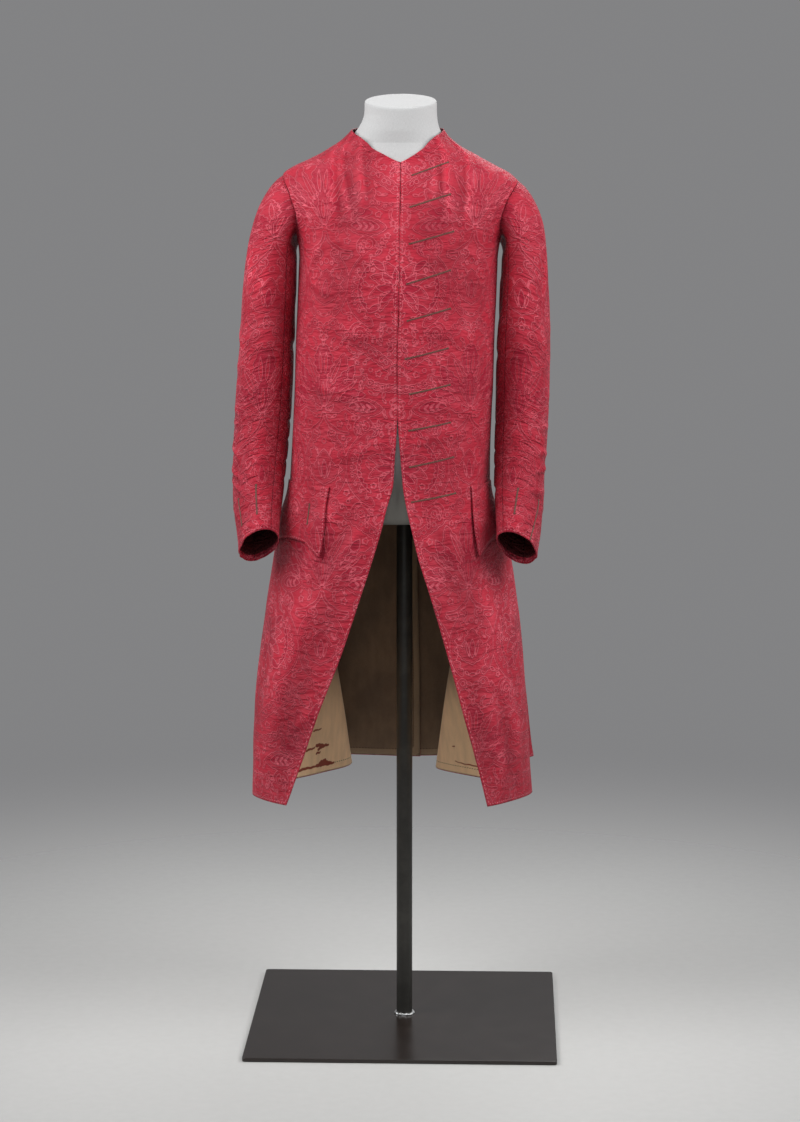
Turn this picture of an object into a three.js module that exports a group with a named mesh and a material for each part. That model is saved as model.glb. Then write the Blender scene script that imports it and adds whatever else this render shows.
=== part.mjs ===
// A knee-length silk damask coat of the 1760s, worn by a plain torso form on a post and a base plate.
// Millimetres, +Z up, +Y towards the wearer's back, wearer's right at -X.
// The origin is under the middle of the base plate.
import * as THREE from 'three';

// Walls and gaps
const SILK_WALL = 1.5;
const LINING_WALL = 1.0;
const FLAP_WALL = 1.2;
const SEAM_GAP = 0.4;
const LINING_GAP = 0.35;
const FLAP_GAP = 0.8;

// Levels
const HEM_Z = 385;
const LINING_TOP_Z = 835;
const FULL_SKIRT_Z = 795;
const HIP_Z = 868;
const ARMPIT_Z = 1237;
const SHOULDER_Z = { right: 1337, left: 1329 };

// Stand
const PLATE_SIDE = 480;
const PLATE_THICKNESS = 6;
const PLATE_CORNER = 5;
const POST_RADIUS = 12.5;
const STAND_GAP = 0.3;
const FORM_BOTTOM_Z = 809;
const SOCKET_DEPTH = 40;
const NECK_CAP_Z = 1448;
const NECK_CAP_SLOPE = 0.2;

// Colours of the materials
const SILK_COLOUR = 0xb03446;
const LINING_COLOUR = 0x8c765c;
const FORM_COLOUR = 0xdcdcda;
const POST_COLOUR = 0x2a2e2c;
const PLATE_COLOUR = 0x48423f;

const SIGN = { right: -1, left: 1 };
const DEGREE = Math.PI / 180;

// The torso's horizontal sections: middle line, half widths to the wearer's right and left,
// depth in front and behind, and how far back the widest point lies
const TORSO = [
  { z: 780, mid: -6, right: 178, left: 141, front: 124, back: 122, side: 10 },
  { z: 868, mid: -6, right: 172, left: 139, front: 120, back: 106, side: 8 },
  { z: 930, mid: -7, right: 167, left: 141, front: 118, back: 98, side: 6 },
  { z: 990, mid: -7, right: 164, left: 143, front: 116, back: 94, side: 6 },
  { z: 1068, mid: -7, right: 162, left: 145, front: 113, back: 95, side: 6 },
  { z: 1146, mid: -6, right: 159, left: 147, front: 111, back: 104, side: 5 },
  { z: 1205, mid: -4, right: 158, left: 147, front: 109, back: 112, side: 4 },
  { z: 1237, mid: -4, right: 161, left: 151, front: 106, back: 113, side: 4 },
  { z: 1255, mid: -4, right: 167, left: 159, front: 102, back: 112, side: 4 },
  { z: 1283, mid: -4, right: 180, left: 173, front: 94, back: 110, side: 4 },
  { z: 1305, mid: -4, right: 187, left: 180, front: 85, back: 103, side: 4 },
  { z: 1320, mid: -4, right: 187, left: 181, front: 79, back: 98, side: 4 },
  { z: 1337, mid: -4, right: 182, left: 167, front: 71, back: 92, side: 4 },
  { z: 1349, mid: -4, right: 165, left: 145, front: 65, back: 87, side: 4 },
  { z: 1358, mid: -5, right: 144, left: 129, front: 61, back: 83, side: 3 },
  { z: 1367, mid: -5, right: 126, left: 113, front: 59, back: 79, side: 3 },
  { z: 1376, mid: -6, right: 110, left: 97, front: 58, back: 75, side: 2 },
  { z: 1386, mid: -6, right: 94, left: 83, front: 57, back: 71, side: 2 },
  { z: 1396, mid: -7, right: 81, left: 73, front: 57, back: 67, side: 1 },
  { z: 1408, mid: -7, right: 70, left: 65, front: 57, back: 64, side: 0 },
];
const SQUARENESS = 2.2;
const WIDEST_ANGLE = 90;

// How far each front edge stands from the middle line as the fronts are cut away
const FRONT_EDGE = [
  { z: 385, right: 169.5, left: 138.5 },
  { z: 436, right: 150.5, left: 126.5 },
  { z: 529, right: 118, left: 100 },
  { z: 607, right: 87.5, left: 78.6 },
  { z: 700, right: 56.6, left: 51 },
  { z: 761, right: 37, left: 31.3 },
  { z: 798, right: 26, left: 22.2 },
  { z: 835, right: 17, left: 13.2 },
  { z: 871, right: 7.3, left: 7.1 },
  { z: 907, right: 4.3, left: 4.7 },
  { z: 944, right: 1.3, left: 2.2 },
  { z: 975, right: 0.1, left: 0.1 },
];

// The skirt in plan, a row for each level: front edge, round of the front, front fold,
// inner fold at the side seam, outer back fold, and middle of the back
const SKIRT = {
  right: [
    { z: 385, edgeY: -173, roundX: -225, roundY: -116, foldX: -229, foldY: -66,
      innerX: -92, innerY: 126, backX: -252, backY: 203, centreX: 0, centreY: 190 },
    { z: 510, edgeY: -163, roundX: -212, roundY: -118, foldX: -228, foldY: -45,
      innerX: -109, innerY: 112, backX: -236, backY: 182, centreX: 0, centreY: 177 },
    { z: 640, edgeY: -150, roundX: -182, roundY: -110, foldX: -218, foldY: -10,
      innerX: -130, innerY: 97, backX: -213, backY: 152, centreX: -2, centreY: 160 },
    { z: 760, edgeY: -136, roundX: -147, roundY: -95, foldX: -203, foldY: 20,
      innerX: -150, innerY: 78, backX: -180, backY: 118, centreX: -4, centreY: 138 },
    { z: 868, edgeY: -120, roundX: -141, roundY: -79, foldX: -178, foldY: 4,
      innerX: -167, innerY: 48, backX: -121, backY: 85, centreX: -6, centreY: 106 },
  ],
  left: [
    { z: 385, edgeY: -171, roundX: 194, roundY: -92, foldX: 197, foldY: -40,
      innerX: 50, innerY: 98, backX: 205, backY: 198, centreX: 0, centreY: 190 },
    { z: 510, edgeY: -162, roundX: 178, roundY: -98, foldX: 189, foldY: -22,
      innerX: 66, innerY: 92, backX: 192, backY: 180, centreX: 0, centreY: 177 },
    { z: 640, edgeY: -150, roundX: 146, roundY: -98, foldX: 178, foldY: 6,
      innerX: 88, innerY: 84, backX: 174, backY: 150, centreX: -2, centreY: 160 },
    { z: 760, edgeY: -136, roundX: 104, roundY: -93, foldX: 161, foldY: 32,
      innerX: 110, innerY: 72, backX: 146, backY: 116, centreX: -4, centreY: 138 },
    { z: 868, edgeY: -120, roundX: 103, roundY: -79, foldX: 133, foldY: 4,
      innerX: 124, innerY: 48, backX: 87, backY: 85, centreX: -6, centreY: 106 },
  ],
};
const FOLD_RADIUS = { fold: 14, inner: 6, back: 8 };
const FOLD_CROWDING = 0.75;

// Columns of the body from front edge to centre back, by stretch of the plan,
// with the torso angle where each stretch ends
const STRETCHES = [
  { name: 'front', columns: 7, start: 0, end: 50 },
  { name: 'side', columns: 4, start: 50, end: 88 },
  { name: 'pleat', columns: 7, start: 88, end: 112 },
  { name: 'backPleat', columns: 7, start: 112, end: 140 },
  { name: 'back', columns: 7, start: 140, end: 180 },
];
const SEAM_COLUMN = 18;
const LAST_COLUMN = 32;
const SEAM_ANGLE = 112;

// The armhole from armpit (0) to shoulder point (1), as torso angles of its two edges
const ARMHOLE = [
  { up: 0, front: 112, back: 112 },
  { up: 0.025, front: 97, back: 117 },
  { up: 0.08, front: 84, back: 121 },
  { up: 0.17, front: 74, back: 124 },
  { up: 0.3, front: 67, back: 126 },
  { up: 0.46, front: 63, back: 126 },
  { up: 0.63, front: 63, back: 124 },
  { up: 0.8, front: 68, back: 118 },
  { up: 0.93, front: 77, back: 106 },
  { up: 1, front: 90, back: 90 },
];

// Height of the neckline by torso angle
const NECKLINE = [
  { angle: 0, z: 1356 },
  { angle: 10, z: 1368 },
  { angle: 20, z: 1377 },
  { angle: 30, z: 1386 },
  { angle: 47, z: 1395 },
  { angle: 90, z: 1405 },
  { angle: 180, z: 1408 },
];

const SKIRT_LEVELS = [HEM_Z, 430, 490, 560, 640, 720, 785, LINING_TOP_Z, HIP_Z];
const WAIST_LEVELS = [915, 965, 1020, 1080, 1140, 1195, ARMPIT_Z];
const YOKE_ROWS = 5;

// How far the lining stops short of the silk's edges, as shares of the nearest grid cell
const LINING_SHORT = { hem: 0.12, frontEdge: 0.3, seam: 0.02, vent: 0.12 };

// The centre back vent: the right back passes under the left
const VENT = {
  lap: 20, inset: 4.2, insetFrom: 930, insetTo: 900, lapFrom: 892, lapTo: 850, startColumn: 25,
};

// Sleeves: a row for each ring, with its middle, half width, half depth,
// forward tilt and outward roll in degrees
const SLEEVE = {
  right: [
    { z: 1205, x: -206, y: 6, wide: 39, deep: 53, tilt: 0, roll: 0 },
    { z: 1150, x: -209.8, y: 9, wide: 41.3, deep: 55, tilt: 0, roll: 0 },
    { z: 1094, x: -213.3, y: 12, wide: 42.5, deep: 55, tilt: 0, roll: 0 },
    { z: 1038, x: -216.7, y: 14, wide: 43.3, deep: 54, tilt: 3, roll: 0 },
    { z: 982, x: -220, y: 12, wide: 43.6, deep: 53, tilt: 10, roll: 0 },
    { z: 926, x: -223.5, y: 3, wide: 43, deep: 50, tilt: 18, roll: 0 },
    { z: 880, x: -226, y: -12, wide: 41.5, deep: 48, tilt: 24, roll: 2 },
    { z: 838, x: -227, y: -31, wide: 39, deep: 46, tilt: 29, roll: 6 },
    { z: 802, x: -224.5, y: -56, wide: 34, deep: 44, tilt: 34, roll: 14 },
    { z: 772, x: -221, y: -78, wide: 30, deep: 43, tilt: 39, roll: 22 },
  ],
  left: [
    { z: 1205, x: 184.2, y: 6, wide: 36.2, deep: 53, tilt: 0, roll: 0 },
    { z: 1150, x: 185, y: 9, wide: 38.5, deep: 55, tilt: 0, roll: 0 },
    { z: 1094, x: 183.8, y: 12, wide: 40.4, deep: 55, tilt: 0, roll: 0 },
    { z: 1038, x: 183, y: 14, wide: 41.2, deep: 54, tilt: 3, roll: 0 },
    { z: 982, x: 182.3, y: 12, wide: 41, deep: 53, tilt: 10, roll: 0 },
    { z: 926, x: 181, y: 3, wide: 41, deep: 50, tilt: 18, roll: 0 },
    { z: 880, x: 179.3, y: -12, wide: 39.8, deep: 48, tilt: 24, roll: 2 },
    { z: 838, x: 178, y: -31, wide: 38, deep: 46, tilt: 29, roll: 6 },
    { z: 802, x: 177, y: -56, wide: 35, deep: 44, tilt: 34, roll: 14 },
    { z: 770, x: 175, y: -79, wide: 31.5, deep: 43, tilt: 39, roll: 22 },
  ],
};
const ARMPIT_RING_ANGLE = 200;
const SLEEVE_HEAD_ROWS = 6;
const SLEEVE_SEAT_DEPTH = 1.0;
const ARMHOLE_CLEARANCE = 0.5;
const FRONT_SLEEVE_SEAM = 6;
const HIND_SLEEVE_SEAM = 14;

// Pocket flaps: body columns of the corners, levels, and how far the free edge stands off
const FLAP = {
  right: { topFront: 4.8, lowFront: 4.7, back: 10.8 },
  left: { topFront: 6.8, lowFront: 7.3, back: 10.8 },
};
const FLAP_TOP_Z = 866;
const FLAP_POINT_Z = 757;
const FLAP_ARCH = 24;
const FLAP_LIFT = 2.6;
const FLAP_COLUMNS = 12;
const FLAP_ROWS = 5;

// The form's half sections above the shoulders, where its neck leaves the coat
const NECK = [
  { z: 1384, mid: -6, right: 86, left: 77, front: 52, back: 63 },
  { z: 1394, mid: -7, right: 74, left: 68, front: 53, back: 60 },
  { z: 1405, mid: -7, right: 65, left: 61, front: 54, back: 57 },
  { z: 1418, mid: -6.5, right: 58, left: 57, front: 54, back: 55 },
  { z: 1430, mid: -6, right: 55.5, left: 55.5, front: 54, back: 54 },
  { z: 1448, mid: -6, right: 55, left: 55, front: 54, back: 54 },
];
const FORM_INSET = [
  { z: 809, inset: 9 },
  { z: 900, inset: 8 },
  { z: 1150, inset: 6 },
  { z: 1260, inset: 3.5 },
  { z: 1320, inset: 2.2 },
  { z: 1370, inset: 2.1 },
];
const FORM_ARM_INSET = 16;
const FORM_ARM_ZONE = { bottom: 1215, full: 1245, easing: 1343, top: 1375 };
const FORM_COLUMNS = 36;
const FORM_LEVELS = [FORM_BOTTOM_Z, 830, 880, 940, 1010, 1080, 1150, 1200, 1237, 1262, 1287, 1308, 1326,
  1340, 1351, 1361, 1371];

// Value of one column of a table at a level, on a smooth curve that never overshoots its rows
function sample(table, key, at, column) {
  const last = table.length - 1;
  if (at <= table[0][key]) {
    return table[0][column];
  }
  if (at >= table[last][key]) {
    return table[last][column];
  }
  let row = 0;
  while (at > table[row + 1][key]) {
    row += 1;
  }
  const slope = (index) => {
    const step = table[index + 1][key] - table[index][key];
    return (table[index + 1][column] - table[index][column]) / step;
  };
  const tangent = (index) => {
    if (index === 0) {
      return slope(0);
    }
    if (index === last) {
      return slope(last - 1);
    }
    const before = slope(index - 1);
    const after = slope(index);
    return before * after <= 0 ? 0 : (2 * before * after) / (before + after);
  };
  const span = table[row + 1][key] - table[row][key];
  const part = (at - table[row][key]) / span;
  const square = part * part;
  const cube = square * part;
  return (2 * cube - 3 * square + 1) * table[row][column]
    + (cube - 2 * square + part) * span * tangent(row)
    + (3 * square - 2 * cube) * table[row + 1][column]
    + (cube - square) * span * tangent(row + 1);
}

function smoothStep(part) {
  const held = Math.min(1, Math.max(0, part));
  return held * held * (3 - 2 * held);
}

// A point of the torso's outer surface: a rounded oval at each level,
// parted in front where the edges fall away
function torsoPoint(side, degrees, z, parted = true) {
  const power = 2 / SQUARENESS;
  const mid = sample(TORSO, 'z', z, 'mid');
  const half = sample(TORSO, 'z', z, side);
  const widestY = sample(TORSO, 'z', z, 'side');
  const sine = Math.max(0, Math.sin(degrees * DEGREE)) ** power;
  const cosine = Math.abs(Math.cos(degrees * DEGREE)) ** power;
  if (degrees <= WIDEST_ANGLE) {
    const edge = parted ? sample(FRONT_EDGE, 'z', z, side) : 0;
    const front = sample(TORSO, 'z', z, 'front');
    const across = edge + (half - edge) * sine;
    return new THREE.Vector3(mid + SIGN[side] * across, widestY - (front + widestY) * cosine, z);
  }
  const back = sample(TORSO, 'z', z, 'back');
  return new THREE.Vector3(mid + SIGN[side] * half * sine, widestY + (back - widestY) * cosine, z);
}

function flatUnit(from, to) {
  return to.clone().sub(from).normalize();
}

// Tangent length that turns a curve with the given radius at a fold
function foldPull(radius, chord) {
  return Math.min(Math.sqrt(6 * radius * chord), chord);
}

// Cubic curve between two plan points with a direction and a pull at each end
function planCurve(start, startWay, startPull, end, endWay, endPull, part) {
  const square = part * part;
  const cube = square * part;
  return start.clone().multiplyScalar(2 * cube - 3 * square + 1)
    .addScaledVector(startWay, (cube - 2 * square + part) * startPull)
    .addScaledVector(end, 3 * square - 2 * cube)
    .addScaledVector(endWay, (cube - square) * endPull);
}

// A point of the skirt's outer surface, by column along its folded plan
function skirtPoint(side, column, z) {
  const row = (name) => sample(SKIRT[side], 'z', z, name);
  const edgeX = sample(TORSO, 'z', z, 'mid') + SIGN[side] * sample(FRONT_EDGE, 'z', z, side);
  const edge = new THREE.Vector2(edgeX, row('edgeY'));
  const round = new THREE.Vector2(row('roundX'), row('roundY'));
  const fold = new THREE.Vector2(row('foldX'), row('foldY'));
  const inner = new THREE.Vector2(row('innerX'), row('innerY'));
  const back = new THREE.Vector2(row('backX'), row('backY'));
  const centre = new THREE.Vector2(row('centreX'), row('centreY'));
  const through = (before, at, after) => flatUnit(before, at).add(flatUnit(at, after)).normalize();
  const roundWay = flatUnit(edge, fold);
  const chordWay = flatUnit(edge, round);
  const edgeWay = chordWay.clone().multiplyScalar(2 * chordWay.dot(roundWay)).sub(roundWay);
  const foldWay = through(round, fold, inner);
  const innerWay = through(fold, inner, back);
  const backWay = through(inner, back, centre);
  const centreWay = new THREE.Vector2(-SIGN[side], 0);
  const softEnds = (part) => part - FOLD_CROWDING * Math.sin(2 * Math.PI * part) / (2 * Math.PI);
  const softStart = (part) => part - FOLD_CROWDING * Math.sin(Math.PI * part) / Math.PI;
  const ends = [
    { from: edge, fromWay: edgeWay, to: round, toWay: roundWay },
    { from: round, fromWay: roundWay, to: fold, toWay: foldWay, toRadius: FOLD_RADIUS.fold },
    { from: fold, fromWay: foldWay, fromRadius: FOLD_RADIUS.fold, to: inner, toWay: innerWay,
      toRadius: FOLD_RADIUS.inner, spread: softEnds },
    { from: inner, fromWay: innerWay, fromRadius: FOLD_RADIUS.inner, to: back, toWay: backWay,
      toRadius: FOLD_RADIUS.back, spread: softEnds },
    { from: back, fromWay: backWay, fromRadius: FOLD_RADIUS.back, to: centre, toWay: centreWay,
      spread: softStart },
  ];
  let index = 0;
  let first = 0;
  while (index < STRETCHES.length - 1 && column > first + STRETCHES[index].columns) {
    first += STRETCHES[index].columns;
    index += 1;
  }
  const stretch = ends[index];
  const share = (column - first) / STRETCHES[index].columns;
  const part = stretch.spread ? stretch.spread(share) : share;
  const chord = stretch.from.distanceTo(stretch.to);
  const fromPull = stretch.fromRadius ? foldPull(stretch.fromRadius, chord) : chord;
  const toPull = stretch.toRadius ? foldPull(stretch.toRadius, chord) : chord;
  const plan = planCurve(stretch.from, stretch.fromWay, fromPull, stretch.to, stretch.toWay, toPull, part);
  return new THREE.Vector3(plan.x, plan.y, z);
}

// Torso angle of a column, before the armhole squeezes it
function columnAngle(column) {
  let first = 0;
  for (const stretch of STRETCHES) {
    if (column <= first + stretch.columns || stretch.end === 180) {
      return stretch.start + (stretch.end - stretch.start) * (column - first) / stretch.columns;
    }
    first += stretch.columns;
  }
  return 180;
}

// A point of the coat's outer surface from hem to armpit
function bodyPoint(side, column, z) {
  const fullness = smoothStep((HIP_Z - z) / (HIP_Z - FULL_SKIRT_Z));
  const point = torsoPoint(side, columnAngle(column), z);
  if (fullness > 0) {
    point.lerp(skirtPoint(side, column, z), fullness);
  }
  if (side === 'right' && column > VENT.startColumn) {
    const nearness = smoothStep((column - VENT.startColumn) / (LAST_COLUMN - VENT.startColumn));
    point.x += VENT.lap * nearness * smoothStep((VENT.lapFrom - z) / (VENT.lapFrom - VENT.lapTo));
    point.y -= VENT.inset * nearness * smoothStep((VENT.insetFrom - z) / (VENT.insetFrom - VENT.insetTo));
  }
  return point;
}

// Small steps for measuring the slope of a surface, in columns, degrees and millimetres of height
const COLUMN_STEP = 0.05;
const ANGLE_STEP = 0.8;
const HEIGHT_STEP = 0.5;

// Outward normal of a surface given as a function of two parameters
function normalOf(surface, across, up, side, acrossStep) {
  const along = surface(across + acrossStep, up).sub(surface(across - acrossStep, up));
  const rising = surface(across, up + HEIGHT_STEP).sub(surface(across, up - HEIGHT_STEP));
  return along.cross(rising).multiplyScalar(SIGN[side]).normalize();
}

// One row of the body: points and normals by column, and whether the armhole parts it
function bodyRow(side, z) {
  const points = [];
  const normals = [];
  for (let column = 0; column <= LAST_COLUMN; column += 1) {
    points.push(bodyPoint(side, column, z));
    const held = Math.min(LAST_COLUMN - COLUMN_STEP, Math.max(COLUMN_STEP, column));
    normals.push(normalOf((across, up) => bodyPoint(side, across, up), held, z, side, COLUMN_STEP));
  }
  return { points, normals };
}

// A row above the armpit: the torso's angles squeezed towards its two edges
function torsoRow(side, heightAt, frontEdge, backEdge) {
  const points = [];
  const normals = [];
  for (let column = 0; column <= LAST_COLUMN + 1; column += 1) {
    const inFront = column <= SEAM_COLUMN;
    const angle = columnAngle(inFront ? column : column - 1);
    const squeezed = inFront
      ? angle * frontEdge / SEAM_ANGLE
      : 180 - (180 - angle) * (180 - backEdge) / (180 - SEAM_ANGLE);
    const z = heightAt(squeezed);
    const held = Math.min(179, Math.max(1, squeezed));
    points.push(torsoPoint(side, squeezed, z));
    normals.push(normalOf((across, up) => torsoPoint(side, across, up), held, z, side, ANGLE_STEP));
  }
  return { points, normals };
}

// All rows of one half of the body, each with its front columns and its back columns
function bodyGrid(side) {
  const rows = [];
  for (const z of [...SKIRT_LEVELS, ...WAIST_LEVELS]) {
    const row = bodyRow(side, z);
    rows.push({
      front: { points: row.points.slice(0, SEAM_COLUMN + 1), normals: row.normals.slice(0, SEAM_COLUMN + 1) },
      back: { points: row.points.slice(SEAM_COLUMN), normals: row.normals.slice(SEAM_COLUMN) },
    });
  }
  const split = (row) => ({
    front: { points: row.points.slice(0, SEAM_COLUMN + 1), normals: row.normals.slice(0, SEAM_COLUMN + 1) },
    back: { points: row.points.slice(SEAM_COLUMN + 1), normals: row.normals.slice(SEAM_COLUMN + 1) },
  });
  const rise = SHOULDER_Z[side] - ARMPIT_Z;
  for (const level of ARMHOLE.slice(1)) {
    const z = ARMPIT_Z + rise * level.up;
    rows.push(split(torsoRow(side, () => z, level.front, level.back)));
  }
  for (let step = 1; step <= YOKE_ROWS; step += 1) {
    const share = step / YOKE_ROWS;
    const heightAt = (angle) => {
      const top = sample(NECKLINE, 'angle', angle, 'z');
      return SHOULDER_Z[side] + (top - SHOULDER_Z[side]) * share;
    };
    rows.push(split(torsoRow(side, heightAt, 90, 90)));
  }
  return rows;
}

// A closed wall from a grid of points and normals: layers at two depths below the points
function wallGeometry(points, normals, outerDepth, innerDepth) {
  const rowCount = points.length;
  const columnCount = points[0].length;
  const positions = [];
  for (const depth of [outerDepth, innerDepth]) {
    for (let row = 0; row < rowCount; row += 1) {
      for (let column = 0; column < columnCount; column += 1) {
        const point = points[row][column].clone().addScaledVector(normals[row][column], -depth);
        positions.push(point.x, point.y, point.z);
      }
    }
  }
  const layer = rowCount * columnCount;
  const at = (row, column, depth) => depth * layer + row * columnCount + column;
  const faces = [];
  const quad = (a, b, c, d) => faces.push(a, b, c, a, c, d);
  for (let row = 0; row + 1 < rowCount; row += 1) {
    for (let column = 0; column + 1 < columnCount; column += 1) {
      quad(at(row, column, 0), at(row, column + 1, 0), at(row + 1, column + 1, 0), at(row + 1, column, 0));
      quad(at(row, column, 1), at(row + 1, column, 1), at(row + 1, column + 1, 1), at(row, column + 1, 1));
    }
    quad(at(row, 0, 0), at(row + 1, 0, 0), at(row + 1, 0, 1), at(row, 0, 1));
    const end = columnCount - 1;
    quad(at(row, end, 0), at(row, end, 1), at(row + 1, end, 1), at(row + 1, end, 0));
  }
  for (let column = 0; column + 1 < columnCount; column += 1) {
    quad(at(0, column, 0), at(0, column, 1), at(0, column + 1, 1), at(0, column + 1, 0));
    const top = rowCount - 1;
    quad(at(top, column, 0), at(top, column + 1, 0), at(top, column + 1, 1), at(top, column, 1));
  }
  return solidGeometry(positions, faces);
}

// A geometry whose faces point out, whichever way the grid ran
function solidGeometry(positions, faces) {
  let volume = 0;
  const corner = (index) => new THREE.Vector3().fromArray(positions, 3 * index);
  for (let face = 0; face < faces.length; face += 3) {
    volume += corner(faces[face]).dot(corner(faces[face + 1]).cross(corner(faces[face + 2])));
  }
  if (volume < 0) {
    for (let face = 0; face < faces.length; face += 3) {
      [faces[face], faces[face + 1]] = [faces[face + 1], faces[face]];
    }
  }
  const geometry = new THREE.BufferGeometry();
  geometry.setAttribute('position', new THREE.Float32BufferAttribute(positions, 3));
  geometry.setIndex(faces);
  geometry.computeVertexNormals();
  return geometry;
}

// Both side edges of a panel drawn in by half the seam gap
function trimSides(points) {
  const trimmed = points.map((row) => row.map((point) => point.clone()));
  for (let row = 0; row < points.length; row += 1) {
    const line = points[row];
    const last = line.length - 1;
    trimmed[row][0].addScaledVector(line[1].clone().sub(line[0]).normalize(), SEAM_GAP / 2);
    trimmed[row][last].addScaledVector(line[last - 1].clone().sub(line[last]).normalize(), SEAM_GAP / 2);
  }
  return trimmed;
}

function plainMaterial(color, roughness, metalness = 0) {
  return new THREE.MeshStandardMaterial({ color, roughness, metalness });
}

const silkMaterial = () => plainMaterial(SILK_COLOUR, 0.55);
const liningMaterial = () => plainMaterial(LINING_COLOUR, 0.8);

function addPiece(group, name, geometry, material) {
  const mesh = new THREE.Mesh(geometry, material);
  mesh.name = name;
  group.add(mesh);
}

// Front and back panels of one side, with the linings of their skirts
function addBody(group, side, grid) {
  for (const panel of ['front', 'back']) {
    const points = grid.map((row) => row[panel].points);
    const normals = grid.map((row) => row[panel].normals);
    const silk = wallGeometry(trimSides(points), normals, 0, SILK_WALL);
    addPiece(group, `${panel}_${side}`, silk, silkMaterial());
    addPiece(group, `lining_${panel}_${side}`, liningGeometry(points, normals, panel), liningMaterial());
  }
}

// The skirt's lining, inside the silk and short of its edges
function liningGeometry(points, normals, panel) {
  const rowCount = SKIRT_LEVELS.indexOf(LINING_TOP_Z) + 1;
  const last = points[0].length - 1;
  const drawIn = (from, to, share) => from.clone().lerp(to, share);
  const edgeShare = panel === 'front'
    ? { first: LINING_SHORT.frontEdge, last: LINING_SHORT.seam }
    : { first: LINING_SHORT.seam, last: LINING_SHORT.vent };
  const inset = (grid) => {
    const rows = grid.slice(0, rowCount).map((row) => {
      const line = row.map((value) => value.clone());
      line[0] = drawIn(row[0], row[1], edgeShare.first);
      line[last] = drawIn(row[last], row[last - 1], edgeShare.last);
      return line;
    });
    rows[0] = rows[0].map((value, column) => drawIn(value, rows[1][column], LINING_SHORT.hem));
    return rows;
  };
  const depth = SILK_WALL + LINING_GAP;
  return wallGeometry(inset(points), inset(normals), depth, depth + LINING_WALL);
}

// The sleeve's first ring: the armhole's edge, drawn in by the seam gap
function armholeRing(side, grid) {
  const firstRow = SKIRT_LEVELS.length + WAIST_LEVELS.length - 1;
  const steps = ARMHOLE.length - 1;
  const ring = [];
  const record = (row, panel, up) => {
    const line = grid[row][panel];
    const index = panel === 'front' ? line.points.length - 1 : 0;
    ring.push({ point: line.points[index], normal: line.normals[index], up });
  };
  for (let step = steps; step >= 1; step -= 1) {
    record(firstRow + step, 'front', ARMHOLE[step].up);
  }
  for (let step = 0; step < steps; step += 1) {
    record(firstRow + step, 'back', ARMHOLE[step].up);
  }
  const middle = new THREE.Vector3();
  for (const entry of ring) {
    middle.addScaledVector(entry.point, 1 / ring.length);
  }
  return ring.map((entry, index) => {
    const before = ring[(index + ring.length - 1) % ring.length].point;
    const after = ring[(index + 1) % ring.length].point;
    const inward = after.clone().sub(before).cross(entry.normal).normalize();
    if (inward.dot(middle.clone().sub(entry.point)) < 0) {
      inward.negate();
    }
    const point = entry.point.clone().addScaledVector(inward, ARMHOLE_CLEARANCE);
    const flat = new THREE.Vector3(entry.normal.x, entry.normal.y, 0).normalize();
    const drop = smoothStep(entry.up / 0.2) * (1 - 0.4 * entry.up);
    const way = flat.add(new THREE.Vector3(0, 0, -drop)).normalize();
    point.addScaledVector(entry.normal, -SLEEVE_SEAT_DEPTH);
    return { point, way };
  });
}

// A point of one sleeve ring, at a level and an angle from its outer side towards the front
function sleevePoint(side, degrees, z) {
  const row = (name) => sample([...SLEEVE[side]].reverse(), 'z', z, name);
  const across = Math.cos(degrees * DEGREE) * row('wide');
  const forward = Math.sin(degrees * DEGREE) * row('deep');
  const tilt = row('tilt') * DEGREE;
  const roll = row('roll') * DEGREE;
  return new THREE.Vector3(
    row('x') + SIGN[side] * across,
    row('y') - forward * Math.cos(tilt),
    z + forward * Math.sin(tilt) - across * Math.sin(roll),
  );
}

function ringAngle(index) {
  const armpit = ARMHOLE.length - 1;
  const count = 2 * armpit;
  if (index <= armpit) {
    return ARMPIT_RING_ANGLE * index / armpit;
  }
  return ARMPIT_RING_ANGLE + (360 - ARMPIT_RING_ANGLE) * (index - armpit) / (count - armpit);
}

// Rings of a sleeve from the armhole to the cuff, in order down the arm
function sleeveRings(side, grid) {
  const start = armholeRing(side, grid);
  const levels = SLEEVE[side].map((row) => row.z);
  const rings = [];
  for (let step = 0; step < SLEEVE_HEAD_ROWS; step += 1) {
    const part = step / SLEEVE_HEAD_ROWS;
    rings.push(start.map((entry, index) => {
      const end = sleevePoint(side, ringAngle(index), levels[0]);
      const endWay = end.clone().sub(sleevePoint(side, ringAngle(index), levels[0] - 1)).negate().normalize();
      const pull = end.distanceTo(entry.point);
      const square = part * part;
      const cube = square * part;
      return entry.point.clone().multiplyScalar(2 * cube - 3 * square + 1)
        .addScaledVector(entry.way, (cube - 2 * square + part) * pull)
        .addScaledVector(end, 3 * square - 2 * cube)
        .addScaledVector(endWay, (cube - square) * pull);
    }));
  }
  for (const z of levels) {
    rings.push(start.map((entry, index) => sleevePoint(side, ringAngle(index), z)));
  }
  return rings;
}

// Normals of a closed tube of rings, pointing away from its hollow
function tubeNormals(rings) {
  return rings.map((ring, row) => ring.map((point, column) => {
    const count = ring.length;
    const around = ring[(column + 1) % count].clone().sub(ring[(column + count - 1) % count]);
    const below = rings[Math.min(row + 1, rings.length - 1)][column];
    const above = rings[Math.max(row - 1, 0)][column];
    const normal = around.cross(below.clone().sub(above)).normalize();
    const middle = new THREE.Vector3();
    for (const other of ring) {
      middle.addScaledVector(other, 1 / count);
    }
    return normal.dot(point.clone().sub(middle)) < 0 ? normal.negate() : normal;
  }));
}

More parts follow.
